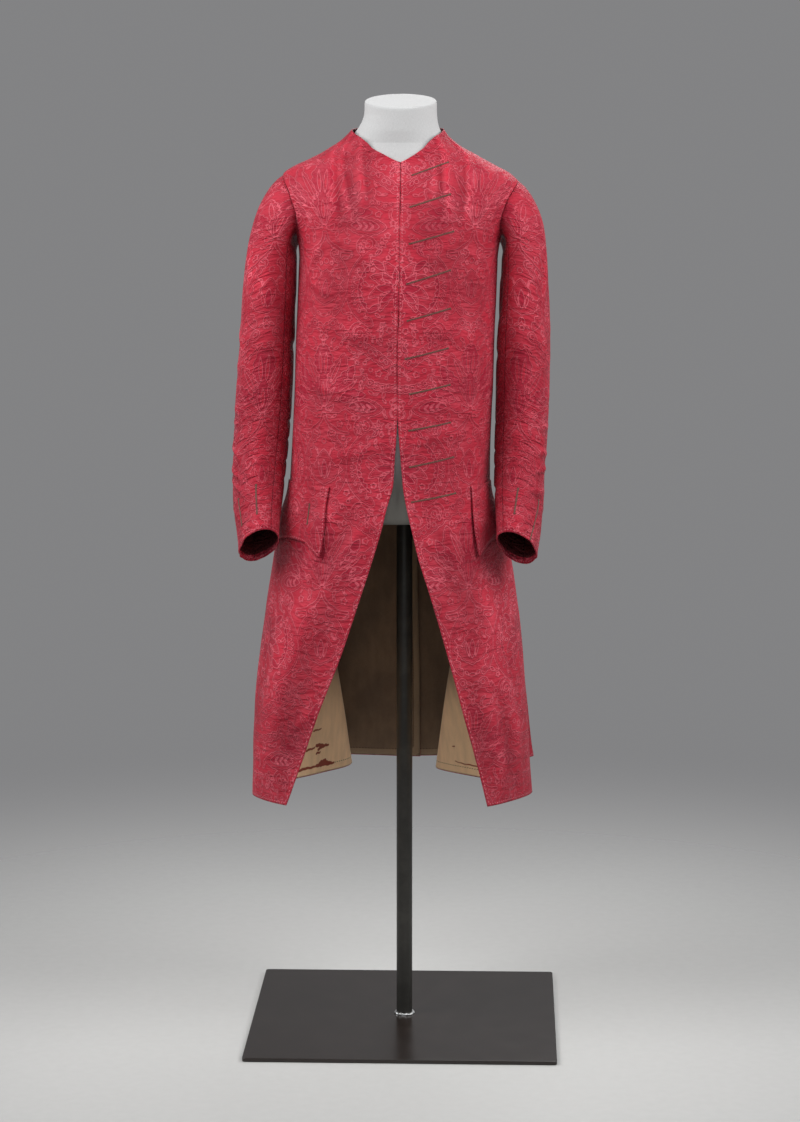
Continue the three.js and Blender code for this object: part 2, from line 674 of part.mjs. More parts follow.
// Upper and under sleeve, cut from the same rings
function addSleeve(group, side, grid) {
  const rings = sleeveRings(side, grid);
  const normals = tubeNormals(rings);
  const count = rings[0].length;
  const stretch = (from, to) => {
    const columns = [];
    for (let column = from; column <= to; column += 1) {
      columns.push(column % count);
    }
    return (table) => table.map((row) => columns.map((column) => row[column]));
  };
  const under = stretch(FRONT_SLEEVE_SEAM, HIND_SLEEVE_SEAM);
  const upper = stretch(HIND_SLEEVE_SEAM, count + FRONT_SLEEVE_SEAM);
  const build = (pick) => wallGeometry(trimSides(pick(rings)), pick(normals), 0, SILK_WALL);
  addPiece(group, `sleeve_upper_${side}`, build(upper), silkMaterial());
  addPiece(group, `sleeve_under_${side}`, build(under), silkMaterial());
}

// A pocket flap lying on the skirt front, its lower edge arched between two pointed corners
function addFlap(group, side) {
  const shape = FLAP[side];
  const points = [];
  const normals = [];
  for (let row = 0; row <= FLAP_ROWS; row += 1) {
    const drop = row / FLAP_ROWS;
    const frontColumn = shape.topFront + (shape.lowFront - shape.topFront) * drop;
    const linePoints = [];
    const lineNormals = [];
    for (let step = 0; step <= FLAP_COLUMNS; step += 1) {
      const share = step / FLAP_COLUMNS;
      const column = frontColumn + (shape.back - frontColumn) * share;
      const edgeZ = FLAP_POINT_Z + FLAP_ARCH * Math.sin(Math.PI * share);
      const z = FLAP_TOP_Z + (edgeZ - FLAP_TOP_Z) * drop;
      const normal = normalOf((across, up) => bodyPoint(side, across, up), column, z, side, COLUMN_STEP);
      const lift = FLAP_GAP + FLAP_WALL + FLAP_LIFT * Math.sqrt(drop);
      linePoints.push(bodyPoint(side, column, z).addScaledVector(normal, lift));
      lineNormals.push(normal);
    }
    points.push(linePoints);
    normals.push(lineNormals);
  }
  const geometry = wallGeometry(points, normals, 0, FLAP_WALL);
  addPiece(group, `pocket_flap_${side}`, geometry, silkMaterial());
}

// A section of the form at one level, inside the coat, closed all the way round
function formRing(z) {
  const ring = [];
  const inset = sample(FORM_INSET, 'z', z, 'inset');
  const rising = smoothStep((z - FORM_ARM_ZONE.bottom) / (FORM_ARM_ZONE.full - FORM_ARM_ZONE.bottom));
  const falling = smoothStep((FORM_ARM_ZONE.top - z) / (FORM_ARM_ZONE.top - FORM_ARM_ZONE.easing));
  const armhole = rising * falling;
  for (let step = 0; step < FORM_COLUMNS; step += 1) {
    const angle = 360 * step / FORM_COLUMNS;
    const side = angle <= 180 ? 'left' : 'right';
    const degrees = angle <= 180 ? angle : 360 - angle;
    const surface = (across, up) => torsoPoint(side, across, up, false);
    const held = Math.min(179, Math.max(1, degrees));
    const normal = normalOf(surface, held, Math.max(z, FORM_BOTTOM_Z + 1), side, ANGLE_STEP);
    const point = surface(degrees, z).addScaledVector(normal, -inset);
    point.x -= SIGN[side] * FORM_ARM_INSET * armhole * Math.max(0, Math.sin(degrees * DEGREE));
    point.z = Math.max(point.z, FORM_BOTTOM_Z);
    ring.push(point);
  }
  return ring;
}

// A section of the neck; the last one is cut off on a slope that faces forward
function neckRing(row, slope) {
  const ring = [];
  for (let step = 0; step < FORM_COLUMNS; step += 1) {
    const angle = 360 * step / FORM_COLUMNS * DEGREE;
    const half = Math.sin(angle) >= 0 ? row.left : row.right;
    const depth = Math.cos(angle) > 0 ? row.front : row.back;
    const y = -depth * Math.cos(angle);
    ring.push(new THREE.Vector3(row.mid + half * Math.sin(angle), y, row.z + slope * y));
  }
  return ring;
}

function roundRing(radius, z) {
  const ring = [];
  for (let step = 0; step < FORM_COLUMNS; step += 1) {
    const angle = 2 * Math.PI * step / FORM_COLUMNS;
    ring.push(new THREE.Vector3(radius * Math.sin(angle), -radius * Math.cos(angle), z));
  }
  return ring;
}

// A closed solid from rings in order, with a middle point at each end
function ringSolid(rings, startPoint, endPoint) {
  const positions = [];
  for (const ring of rings) {
    for (const point of ring) {
      positions.push(point.x, point.y, point.z);
    }
  }
  const count = rings[0].length;
  const startIndex = rings.length * count;
  positions.push(...startPoint.toArray(), ...endPoint.toArray());
  const faces = [];
  for (let step = 0; step < count; step += 1) {
    const next = (step + 1) % count;
    faces.push(startIndex, next, step);
    const base = (rings.length - 1) * count;
    faces.push(startIndex + 1, base + step, base + next);
    for (let row = 0; row + 1 < rings.length; row += 1) {
      const low = row * count;
      const high = low + count;
      faces.push(low + step, low + next, high + next, low + step, high + next, high + step);
    }
  }
  return solidGeometry(positions, faces);
}

// The limbless torso form, with a socket in its flat underside for the post
function addForm(group) {
  const socketTop = FORM_BOTTOM_Z + SOCKET_DEPTH;
  const rings = [
    roundRing(POST_RADIUS + STAND_GAP, socketTop),
    roundRing(POST_RADIUS + STAND_GAP, FORM_BOTTOM_Z),
    ...FORM_LEVELS.map(formRing),
    ...NECK.map((row, index) => neckRing(row, index === NECK.length - 1 ? NECK_CAP_SLOPE : 0)),
  ];
  const capMiddle = new THREE.Vector3(NECK[NECK.length - 1].mid, 0, NECK_CAP_Z);
  const geometry = ringSolid(rings, new THREE.Vector3(0, 0, socketTop), capMiddle);
  addPiece(group, 'form_torso', geometry, plainMaterial(FORM_COLOUR, 0.7));
}

function addStand(group) {
  const foot = PLATE_THICKNESS + STAND_GAP;
  const top = FORM_BOTTOM_Z + SOCKET_DEPTH - STAND_GAP;
  const post = ringSolid(
    [roundRing(POST_RADIUS, foot), roundRing(POST_RADIUS, top)],
    new THREE.Vector3(0, 0, foot),
    new THREE.Vector3(0, 0, top),
  );
  addPiece(group, 'stand_post', post, plainMaterial(POST_COLOUR, 0.4, 0.6));
  const half = PLATE_SIDE / 2;
  const straight = half - PLATE_CORNER;
  const outline = new THREE.Shape();
  outline.moveTo(-straight, -half);
  outline.lineTo(straight, -half);
  outline.absarc(straight, -straight, PLATE_CORNER, -Math.PI / 2, 0, false);
  outline.absarc(straight, straight, PLATE_CORNER, 0, Math.PI / 2, false);
  outline.absarc(-straight, straight, PLATE_CORNER, Math.PI / 2, Math.PI, false);
  outline.absarc(-straight, -straight, PLATE_CORNER, Math.PI, 1.5 * Math.PI, false);
  const settings = { depth: PLATE_THICKNESS, bevelEnabled: false, curveSegments: 4 };
  const plate = new THREE.ExtrudeGeometry(outline, settings);
  addPiece(group, 'base_plate', plate, plainMaterial(PLATE_COLOUR, 0.6, 0.3));
}

const coatOnStand = new THREE.Group();
for (const side of ['right', 'left']) {
  const grid = bodyGrid(side);
  addBody(coatOnStand, side, grid);
  addSleeve(coatOnStand, side, grid);
  addFlap(coatOnStand, side);
}
addForm(coatOnStand);
addStand(coatOnStand);

export default coatOnStand;
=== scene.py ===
# %% [markdown]
# # A silk damask coat on a torso form
#
# The real object is a knee-length coat of the 1760s: crimson silk damask, collarless, cut away
# in front, with a deep pleat at each side seam. It is worn by a limbless white torso form on a
# steel post and a square steel plate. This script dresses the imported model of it: every cloth
# panel becomes a fine sheet with its woven pattern, wrinkles and sewing.

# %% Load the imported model
import math
import bmesh
import bpy
import numpy as np
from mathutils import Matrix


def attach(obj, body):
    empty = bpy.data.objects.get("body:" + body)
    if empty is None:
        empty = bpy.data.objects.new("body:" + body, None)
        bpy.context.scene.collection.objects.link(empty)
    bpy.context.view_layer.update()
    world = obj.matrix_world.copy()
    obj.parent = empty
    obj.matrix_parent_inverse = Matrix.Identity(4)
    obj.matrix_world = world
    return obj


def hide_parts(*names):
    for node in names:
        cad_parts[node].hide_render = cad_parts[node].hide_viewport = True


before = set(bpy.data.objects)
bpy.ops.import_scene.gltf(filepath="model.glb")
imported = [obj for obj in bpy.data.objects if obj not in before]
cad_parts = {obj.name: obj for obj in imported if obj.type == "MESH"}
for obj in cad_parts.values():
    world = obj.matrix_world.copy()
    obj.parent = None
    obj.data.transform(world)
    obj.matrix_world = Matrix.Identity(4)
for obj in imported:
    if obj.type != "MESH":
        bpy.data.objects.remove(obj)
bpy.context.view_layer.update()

# %% [markdown]
# ## The camera
#
# The photograph was taken from about 4.7 m, level with the top of the form's neck, looking
# slightly down and almost square to the front. The place, pitch and lens were worked out from the
# plate's four corners and the post. A small turn of the camera frames the object. A lens shift
# could do that too, but a turn keeps the camera an ordinary one.

# %% The camera
CAMERA_DISTANCE = 4.684  # metres from the post
CAMERA_HEIGHT = 1.451  # metres above the floor
CAMERA_AZIMUTH = math.radians(1.90)
CAMERA_TURN = math.radians(0.086)
CAMERA_PITCH = math.radians(8.67)
CAMERA_LENS = 97.3  # millimetres

camera_data = bpy.data.cameras.new("camera")
camera_data.lens = CAMERA_LENS
camera_data.dof.use_dof = False
camera = bpy.data.objects.new("camera", camera_data)
camera.location = (
    CAMERA_DISTANCE * math.sin(CAMERA_AZIMUTH),
    -CAMERA_DISTANCE * math.cos(CAMERA_AZIMUTH),
    CAMERA_HEIGHT,
)
camera.rotation_euler = (math.radians(90) - CAMERA_PITCH, 0, CAMERA_AZIMUTH + CAMERA_TURN)
bpy.context.collection.objects.link(camera)
bpy.context.scene.camera = camera
print("camera", [round(value, 3) for value in camera.location], "lens", CAMERA_LENS)

# %% [markdown]
# ## Sizes of the coat
#
# A tailor works from a few body measures. Here they are tables of cross-sections, with the same
# named values as in the part's source, in millimetres, so that each sheet lies on its solid. The
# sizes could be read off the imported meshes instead, but those are too coarse for fine folds.
# A table is a dictionary of columns, and a smooth curve runs through each column.

# %% Tables of the coat's sections
MM = 0.001  # metres
SIGN = {"right": -1, "left": 1}
HEM_Z, LINING_TOP_Z, FULL_SKIRT_Z, HIP_Z, ARMPIT_Z = 385, 835, 795, 868, 1237
SHOULDER_Z = {"right": 1337, "left": 1329}
SQUARENESS = 2.2  # 2 is an ellipse, and more is squarer
SILK_WALL, LINING_WALL, FLAP_WALL = 1.5, 1.0, 1.2


def table(columns, *rows):
    """A table with named columns: each column is an array with a value for each row."""
    return dict(zip(columns.split(), np.array(rows, float).T))


TORSO = table(
    "z mid right left front back side",
    (780, -6, 178, 141, 124, 122, 10), (868, -6, 172, 139, 120, 106, 8),
    (930, -7, 167, 141, 118, 98, 6), (990, -7, 164, 143, 116, 94, 6),
    (1068, -7, 162, 145, 113, 95, 6), (1146, -6, 159, 147, 111, 104, 5),
    (1205, -4, 158, 147, 109, 112, 4), (1237, -4, 161, 151, 106, 113, 4),
    (1255, -4, 167, 159, 102, 112, 4), (1283, -4, 180, 173, 94, 110, 4),
    (1305, -4, 187, 180, 85, 103, 4), (1320, -4, 187, 181, 79, 98, 4),
    (1337, -4, 182, 167, 71, 92, 4), (1349, -4, 165, 145, 65, 87, 4),
    (1358, -5, 144, 129, 61, 83, 3), (1367, -5, 126, 113, 59, 79, 3),
    (1376, -6, 110, 97, 58, 75, 2), (1386, -6, 94, 83, 57, 71, 2),
    (1396, -7, 81, 73, 57, 67, 1), (1408, -7, 70, 65, 57, 64, 0),
)
FRONT_EDGE = table(
    "z right left",
    (385, 169.5, 138.5), (436, 150.5, 126.5), (529, 118, 100), (607, 87.5, 78.6),
    (700, 56.6, 51), (761, 37, 31.3), (798, 26, 22.2), (835, 17, 13.2), (871, 7.3, 7.1),
    (907, 4.3, 4.7), (944, 1.3, 2.2), (975, 0.1, 0.1),
)
SKIRT_COLUMNS = "z edgeY roundX roundY foldX foldY innerX innerY backX backY centreX centreY"
SKIRT = {
    "right": table(
        SKIRT_COLUMNS,
        (385, -173, -225, -116, -229, -66, -92, 126, -252, 203, 0, 190),
        (510, -163, -212, -118, -228, -45, -109, 112, -236, 182, 0, 177),
        (640, -150, -182, -110, -218, -10, -130, 97, -213, 152, -2, 160),
        (760, -136, -147, -95, -203, 20, -150, 78, -180, 118, -4, 138),
        (868, -120, -141, -79, -178, 4, -167, 48, -121, 85, -6, 106),
    ),
    "left": table(
        SKIRT_COLUMNS,
        (385, -171, 194, -92, 197, -40, 50, 98, 205, 198, 0, 190),
        (510, -162, 178, -98, 189, -22, 66, 92, 192, 180, 0, 177),
        (640, -150, 146, -98, 178, 6, 88, 84, 174, 150, -2, 160),
        (760, -136, 104, -93, 161, 32, 110, 72, 146, 116, -4, 138),
        (868, -120, 103, -79, 133, 4, 124, 48, 87, 85, -6, 106),
    ),
}
FOLD_RADIUS = {"fold": 14, "inner": 6, "back": 8}
FOLD_CROWDING = 0.75
STRETCHES = table(
    "columns start end",
    (7, 0, 50), (4, 50, 88), (7, 88, 112), (7, 112, 140), (7, 140, 180),
)
SEAM_COLUMN, LAST_COLUMN, SEAM_ANGLE = 18, 32, 112
ARMHOLE = table(
    "step up front back",
    (0, 0, 112, 112), (1, 0.025, 97, 117), (2, 0.08, 84, 121), (3, 0.17, 74, 124),
    (4, 0.3, 67, 126), (5, 0.46, 63, 126), (6, 0.63, 63, 124), (7, 0.8, 68, 118),
    (8, 0.93, 77, 106), (9, 1, 90, 90),
)
NECKLINE = table(
    "angle z",
    (0, 1356), (10, 1368), (20, 1377), (30, 1386), (47, 1395), (90, 1405), (180, 1408),
)
FORM_INSET = table(
    "z inset",
    (809, 10), (900, 9), (1150, 8), (1260, 6.5), (1320, 5), (1350, 3.4), (1371, 2.1),
)
VENT = {
    "lap": 20, "inset": 4.2, "inset_from": 930, "inset_to": 900,
    "lap_from": 892, "lap_to": 850, "start_column": 25,
}
FREE = 99.0  # millimetres: stands for a seam, edge or split that is far away or isn't there
print("sections: torso", len(TORSO["z"]), "skirt", len(SKIRT["right"]["z"]), "armhole", len(ARMHOLE["step"]))

# %% [markdown]
# ## The body's surface as one formula
#
# The real coat is cut flat and takes the shape of what it hangs on. Here its body is a function of
# two parameters: a column that runs from the front edge round to the centre back, and a height.
# Above the hips it is a rounded oval. Below, the skirt's plan is a curve that folds in at the
# side seam and out again. It could be draped by simulation, but worked-out sections keep the
# folds exactly where the photograph and the solids have them.

# %% Curves through the tables
TINY = 1e-9


def smooth_value(rows, key, at, column):
    """The column's value at many levels: a cubic through the rows whose slope at each row is
    the harmonic mean of the slopes before and after it, or zero where they differ in sign."""
    x, y = rows[key], rows[column]
    step = np.diff(x)
    slope = np.diff(y) / step
    before, after = slope[:-1], slope[1:]
    same = before * after > 0
    inner = np.where(same, 2 * before * after / np.where(same, before + after, 1), 0)
    tangent = np.concatenate(([slope[0]], inner, [slope[-1]]))
    at = np.clip(at, x[0], x[-1])
    row = np.clip(np.searchsorted(x, at, side="right") - 1, 0, len(x) - 2)
    part = (at - x[row]) / step[row]
    square, cube = part**2, part**3
    return (
        (2 * cube - 3 * square + 1) * y[row]
        + (cube - 2 * square + part) * step[row] * tangent[row]
        + (3 * square - 2 * cube) * y[row + 1]
        + (cube - square) * step[row] * tangent[row + 1]
    )


def smooth_step(part):
    """0 below 0, 1 above 1, and three squares less two cubes between."""
    held = np.clip(part, 0, 1)
    return held * held * (3 - 2 * held)


def unit(vectors):
    """Vectors divided by their own length."""
    return vectors / np.maximum(np.linalg.norm(vectors, axis=-1, keepdims=True), TINY)


# %% The torso and the folded skirt
def torso_point(side, degrees, z, parted=True):
    """Outer surface of the torso: across by the sine, and forward or back by the cosine of the
    angle, both to the power 2 / squareness, from the half sizes in TORSO at that height."""
    value = lambda name: smooth_value(TORSO, "z", z, name)
    sine = np.maximum(0, np.sin(np.radians(degrees))) ** (2 / SQUARENESS)
    cosine = np.abs(np.cos(np.radians(degrees))) ** (2 / SQUARENESS)
    mid, half, widest = value("mid"), value(side), value("side")
    edge = smooth_value(FRONT_EDGE, "z", z, side) if parted else 0 * half
    in_front = degrees <= 90
    across = np.where(in_front, edge + (half - edge) * sine, half * sine)
    deep = np.where(
        in_front, widest - (value("front") + widest) * cosine,
        widest + (value("back") - widest) * cosine,
    )
    return np.stack([mid + SIGN[side] * across, deep, z + 0 * across], axis=-1)


def skirt_point(side, column, z):
    """Outer surface of the skirt: at each height, cubic curves through the knots edge, round,
    fold, inner, back and centre. A fold of radius r on a chord c has a pull of sqrt(6 r c)."""
    knot = lambda name: np.stack(
        [smooth_value(SKIRT[side], "z", z, name + axis) for axis in "XY"], axis=-1)
    edge_x = smooth_value(TORSO, "z", z, "mid") + SIGN[side] * smooth_value(FRONT_EDGE, "z", z, side)
    edge = np.stack([edge_x, smooth_value(SKIRT[side], "z", z, "edgeY")], axis=-1)
    rounded, fold, inner, back, centre = (
        knot(name) for name in ("round", "fold", "inner", "back", "centre"))
    way = lambda a, b: unit(b - a)
    through = lambda a, b, c: unit(way(a, b) + way(b, c))
    round_way, chord_way = way(edge, fold), way(edge, rounded)
    along = np.sum(chord_way * round_way, axis=-1, keepdims=True)
    edge_way = 2 * along * chord_way - round_way
    centre_way = np.broadcast_to(np.array([-SIGN[side], 0.0]), edge.shape)
    ways = (edge_way, round_way, through(rounded, fold, inner), through(fold, inner, back),
            through(inner, back, centre), centre_way)
    knots = (edge, rounded, fold, inner, back, centre)
    radii = (None, None, FOLD_RADIUS["fold"], FOLD_RADIUS["inner"], FOLD_RADIUS["back"], None)
    soft_ends = lambda p: p - FOLD_CROWDING * np.sin(2 * np.pi * p) / (2 * np.pi)
    soft_start = lambda p: p - FOLD_CROWDING * np.sin(np.pi * p) / np.pi
    spreads = (None, None, soft_ends, soft_ends, soft_start)
    plan = np.zeros(edge.shape)
    first = 0
    for index, count in enumerate(STRETCHES["columns"]):
        start, end = knots[index], knots[index + 1]
        chord = np.linalg.norm(end - start, axis=-1, keepdims=True)
        pull = [
            np.minimum(np.sqrt(6 * radius * chord), chord) if radius else chord
            for radius in (radii[index], radii[index + 1])
        ]
        part = np.clip((column - first) / count, 0, 1)
        part = (spreads[index](part) if spreads[index] else part)[..., None]
        square, cube = part**2, part**3
        curve = (
            (2 * cube - 3 * square + 1) * start
            + (cube - 2 * square + part) * pull[0] * ways[index]
            + (3 * square - 2 * cube) * end
            + (cube - square) * pull[1] * ways[index + 1]
        )
        here = (column >= first) & (column <= first + count)
        plan = np.where(here[..., None], curve, plan)
        first += count
    return np.concatenate([plan, z[..., None]], axis=-1)


def column_angle(column):
    """Torso angle of a column: straight lines through the ends of the stretches."""
    ends = np.concatenate(([0], np.cumsum(STRETCHES["columns"])))
    return np.interp(column, ends, np.concatenate(([0], STRETCHES["end"])))


def body_point(side, column, z):
    """The torso blended into the skirt between hip and full skirt, with the vent's lap."""
    fullness = smooth_step((HIP_Z - z) / (HIP_Z - FULL_SKIRT_Z))[..., None]
    point = torso_point(side, column_angle(column), z) * (1 - fullness)
    point = point + skirt_point(side, column, z) * fullness
    if side == "right":
        near = smooth_step((column - VENT["start_column"]) / (LAST_COLUMN - VENT["start_column"]))
        lap = smooth_step((VENT["lap_from"] - z) / (VENT["lap_from"] - VENT["lap_to"]))
        inset = smooth_step((VENT["inset_from"] - z) / (VENT["inset_from"] - VENT["inset_to"]))
        point[..., 0] += VENT["lap"] * near * lap
        point[..., 1] -= VENT["inset"] * near * inset
    return point


# %% [markdown]
# ## A sheet of cloth as a mesh
#
# Silk has two sides and a turned edge. Each panel is a fine grid of points on the side that shows.
# A second, coarser layer lies behind it at the cloth's thickness, and a rim joins the two, so the
# sheet is closed and its edge shows as a turned edge does. A Solidify modifier could do it, but
# it would double every fine face, and the fine faces are wanted for the wrinkles that show.

# %% Grids, normals and closed sheets
INNER_STRIDE = 2  # the inner layer has every second point of the outer one, both ways


def grid_normals(points, outward_at):
    """Cross product of the grid's two directions, turned to point away from outward_at."""
    around = np.gradient(points, axis=1)
    rising = np.gradient(points, axis=0)
    normals = unit(np.cross(around, rising))
    middle = tuple(size // 2 for size in normals.shape[:2])
    inwards = np.dot(normals[middle], points[middle] - outward_at) < 0
    return -normals if inwards else normals


def grid_quads(rows, columns, offset=0):
    """Corner numbers of each cell of a grid of points numbered row by row."""
    numbers = offset + np.arange(rows * columns).reshape(rows, columns)
    return np.stack(
        [numbers[:-1, :-1], numbers[:-1, 1:], numbers[1:, 1:], numbers[1:, :-1]], axis=-1
    ).reshape(-1, 4)


def rim_faces(outer, inner):
    """Triangles between a fine border line and a coarse one: a fan for each coarse step."""
    count = len(inner) - 1
    fans = [
        (outer[step::INNER_STRIDE][:count], outer[step + 1 :: INNER_STRIDE][:count], inner[:-1])
        for step in range(INNER_STRIDE)
    ]
    fans.append((outer[INNER_STRIDE::INNER_STRIDE], inner[1:], inner[:-1]))
    return np.concatenate([np.stack([*fan, fan[-1]], axis=-1) for fan in fans])


def build_mesh(name, points_mm, faces, material, uv=None, fields=None):
    """A smooth mesh object from points in millimetres. A face whose last corner repeats the one
    before it is a triangle. uv and fields hold a value for each point."""
    faces = np.asarray(faces)
    sizes = np.where(faces[:, 3] == faces[:, 2], 3, 4)
    corners = faces[np.arange(4)[None, :] < sizes[:, None]]
    mesh = bpy.data.meshes.new(name)
    mesh.vertices.add(len(points_mm))
    mesh.vertices.foreach_set("co", (points_mm * MM).astype(np.float32).ravel())
    mesh.loops.add(len(corners))
    mesh.loops.foreach_set("vertex_index", corners.astype(np.int32))
    mesh.polygons.add(len(faces))
    starts = np.concatenate(([0], np.cumsum(sizes)[:-1]))
    mesh.polygons.foreach_set("loop_start", starts.astype(np.int32))
    mesh.update(calc_edges=True)
    outwards = bmesh.new()
    outwards.from_mesh(mesh)
    bmesh.ops.recalc_face_normals(outwards, faces=outwards.faces)
    outwards.to_mesh(mesh)
    outwards.free()
    mesh.polygons.foreach_set("use_smooth", np.ones(len(mesh.polygons), bool))
    if uv is not None:
        order = np.empty(len(mesh.loops), np.int32)
        mesh.loops.foreach_get("vertex_index", order)
        layer = mesh.uv_layers.new(name="cloth")
        layer.data.foreach_set("uv", (uv[order] * MM).astype(np.float32).ravel())
    for field, values in (fields or {}).items():
        attribute = mesh.attributes.new(field, "FLOAT", "POINT")
        attribute.data.foreach_set("value", values.astype(np.float32))
    mesh.materials.append(material)
    made = bpy.data.objects.new(name, mesh)
    bpy.context.collection.objects.link(made)
    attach(made, "root")
    return made


def closed_sheet(name, outer, normals, wall, material, uv, fields=None):
    """A closed sheet: the outer grid, an inner grid a wall's thickness below every second
    point, and four rims between them. The attribute inner_side is 0 outside and 1 inside."""
    every = (slice(None, None, INNER_STRIDE),) * 2
    inner = outer[every] - wall * normals[every]
    rows, columns = outer.shape[:2]
    low_rows, low_columns = inner.shape[:2]
    top = np.arange(rows * columns).reshape(rows, columns)
    low = top.size + np.arange(low_rows * low_columns).reshape(low_rows, low_columns)
    borders = [(grid[0], grid[-1], grid[:, 0], grid[:, -1]) for grid in (top, low)]
    faces = [grid_quads(rows, columns), grid_quads(low_rows, low_columns, top.size)]
    faces += [rim_faces(fine, coarse) for fine, coarse in zip(*borders)]
    both = lambda grid: np.concatenate([grid.reshape(top.size, -1), grid[every].reshape(low.size, -1)])
    points = np.concatenate([outer.reshape(-1, 3), inner.reshape(-1, 3)])
    values = {field: both(grid)[:, 0] for field, grid in (fields or {}).items()}
    values["inner_side"] = np.repeat([0.0, 1.0], (top.size, low.size))
    return build_mesh(name, points, np.concatenate(faces), material, both(uv), values)


def cloth_coordinates(points, start):
    """Lengths on the cloth in millimetres: across, the arc length along each row from start;
    up, the sum of each step between rows less its part along the row."""
    along = np.linalg.norm(np.diff(points, axis=1), axis=-1)
    across = np.concatenate([np.zeros((len(points), 1)), np.cumsum(along, axis=1)], axis=1)
    across = across + np.asarray(start)[:, None]
    tangent = unit(np.gradient(points, axis=1))
    rise = np.diff(points, axis=0)
    row_way = (tangent[:-1] + tangent[1:]) / 2
    rise = rise - np.sum(rise * row_way, axis=-1, keepdims=True) * row_way
    step = np.linalg.norm(rise, axis=-1)
    up = np.concatenate([np.zeros((1, points.shape[1])), np.cumsum(step, axis=0)])
    return np.stack([across, up], axis=-1)


def report_area(points):
    """Area of a grid in square metres, from the cross product of each cell's diagonals."""
    one = points[1:, 1:] - points[:-1, :-1]
    two = points[1:, :-1] - points[:-1, 1:]
    return float(np.linalg.norm(np.cross(one, two), axis=-1).sum() / 2 * MM**2)

# %% [markdown]
# ## The woven pattern
#
# Damask is woven in one colour: the ground is a dull ribbed weave, the figures are a shiny satin,
# and here each figure has a thin raised outline. The design is a general one of its time, drawn
# for this part: pointed flowers, serrated leaves, scrolls and scallops, mirrored about upright
# lines. Each motif is a closed outline from a formula. Its signed distance is worked out once on
# a grid in millimetres and kept as an attribute of each sheet. A drawn picture on the cloth could
# show the same, but it blurs close up, while a line where a distance is zero stays sharp.

# %% Motifs, scrolls and distances
REPEAT_HALF = 118.0  # millimetres from one mirror line of the pattern to the next
REPEAT_HEIGHT = 548.0
PATTERN_CELL = 0.8  # millimetres between the grid's points
PATTERN_MARGIN = 60.0  # millimetres of grid round the half repeat
FIELD_LIMIT = 8.0  # millimetres: distances further from an outline than this are held at it
LEAF_POINTS, PETAL_POINTS, RIBBON_POINTS, BLOSSOM_POINTS = 40, 30, 120, 12  # the last, a petal


def turned(x, y, angle, at):
    """Points turned by an angle in degrees, anticlockwise, and moved to a place."""
    c, s = np.cos(np.radians(angle)), np.sin(np.radians(angle))
    return np.stack([at[0] + c * x - s * y, at[1] + s * x + c * y], axis=-1)


def leaf(at, angle, length, width, waves=0, depth=0.0, bend=0.0):
    """A pointed leaf from its root: the half width is a sine of the length to the power 0.8,
    waved for a serrated edge, on a midline that bends as a parabola."""
    t = np.linspace(0, 1, LEAF_POINTS)
    half = width / 2 * np.sin(np.pi * t**0.9) ** 0.8 * (1 + depth * np.abs(np.sin(np.pi * waves * t)))
    middle = bend * 4 * t * (1 - t)
    x = np.concatenate([t, t[::-1]]) * length
    y = np.concatenate([middle + half, (middle - half)[::-1]])
    return turned(x, y, angle, at)


def petal(at, angle, length, width, bend=0.0):
    """A petal, narrow at its root and round at its tip: half width is the square root of a
    sine, times a straight rise."""
    t = np.linspace(0, 1, PETAL_POINTS)
    half = width / 2 * np.sqrt(np.maximum(np.sin(np.pi * t), 0)) * (0.35 + 0.9 * t)
    middle = bend * t**2
    x = np.concatenate([t, t[::-1]]) * length
    y = np.concatenate([middle + half, (middle - half)[::-1]])
    return turned(x, y, angle, at)


def blossom(at, radius, petals, depth=0.3, turn=0.0):
    """A flower head seen from above: the radius swells and dips as a cosine of the angle."""
    angle = np.linspace(0, 2 * np.pi, BLOSSOM_POINTS * petals, endpoint=False)
    around = radius * (1 - depth / 2 + depth / 2 * np.cos(petals * (angle - np.radians(turn))))
    return np.stack([at[0] + around * np.cos(angle), at[1] + around * np.sin(angle)], axis=-1)


def ribbon(points, width, lobes=0, lobe_depth=0.0, samples=RIBBON_POINTS):
    """A ribbon along a smooth line through points, tapering to its ends. The edge on the right
    of its way may swell outwards in lobes, as absolute sines."""
    points = np.array(points, float)
    knots = np.linspace(0, 1, len(points))
    t = np.linspace(0, 1, samples)
    line = np.stack([catmull(knots, points[:, axis], t) for axis in range(2)], axis=-1)
    way = np.gradient(line, axis=0)
    way /= np.linalg.norm(way, axis=1, keepdims=True)
    side = np.stack([-way[:, 1], way[:, 0]], axis=-1)
    half = width / 2 * np.minimum(1, 6 * np.sqrt(t * (1 - t)))
    swell = half + lobe_depth * np.abs(np.sin(np.pi * lobes * t)) * np.minimum(1, 8 * t * (1 - t))
    return np.concatenate([line + side * half[:, None], (line - side * swell[:, None])[::-1]])


def catmull(knots, values, at):
    """A cubic through evenly spaced values, with the slope between the neighbours at each."""
    slope = np.gradient(values, knots)
    row = np.clip(np.searchsorted(knots, at, side="right") - 1, 0, len(knots) - 2)
    span = knots[row + 1] - knots[row]
    part = (at - knots[row]) / span
    square, cube = part**2, part**3
    return (
        (2 * cube - 3 * square + 1) * values[row]
        + (cube - 2 * square + part) * span * slope[row]
        + (3 * square - 2 * cube) * values[row + 1]
        + (cube - square) * span * slope[row + 1]
    )


def curl(at, start, turns, outer, inner, width):
    """A ribbon wound into a spiral whose radius shrinks evenly, as a scroll's end."""
    angle = np.radians(start) + np.linspace(0, turns * 2 * np.pi, 12)
    radius = np.linspace(outer, inner, 12)
    points = np.stack([at[0] + radius * np.cos(angle), at[1] + radius * np.sin(angle)], axis=-1)
    return ribbon(points, width)


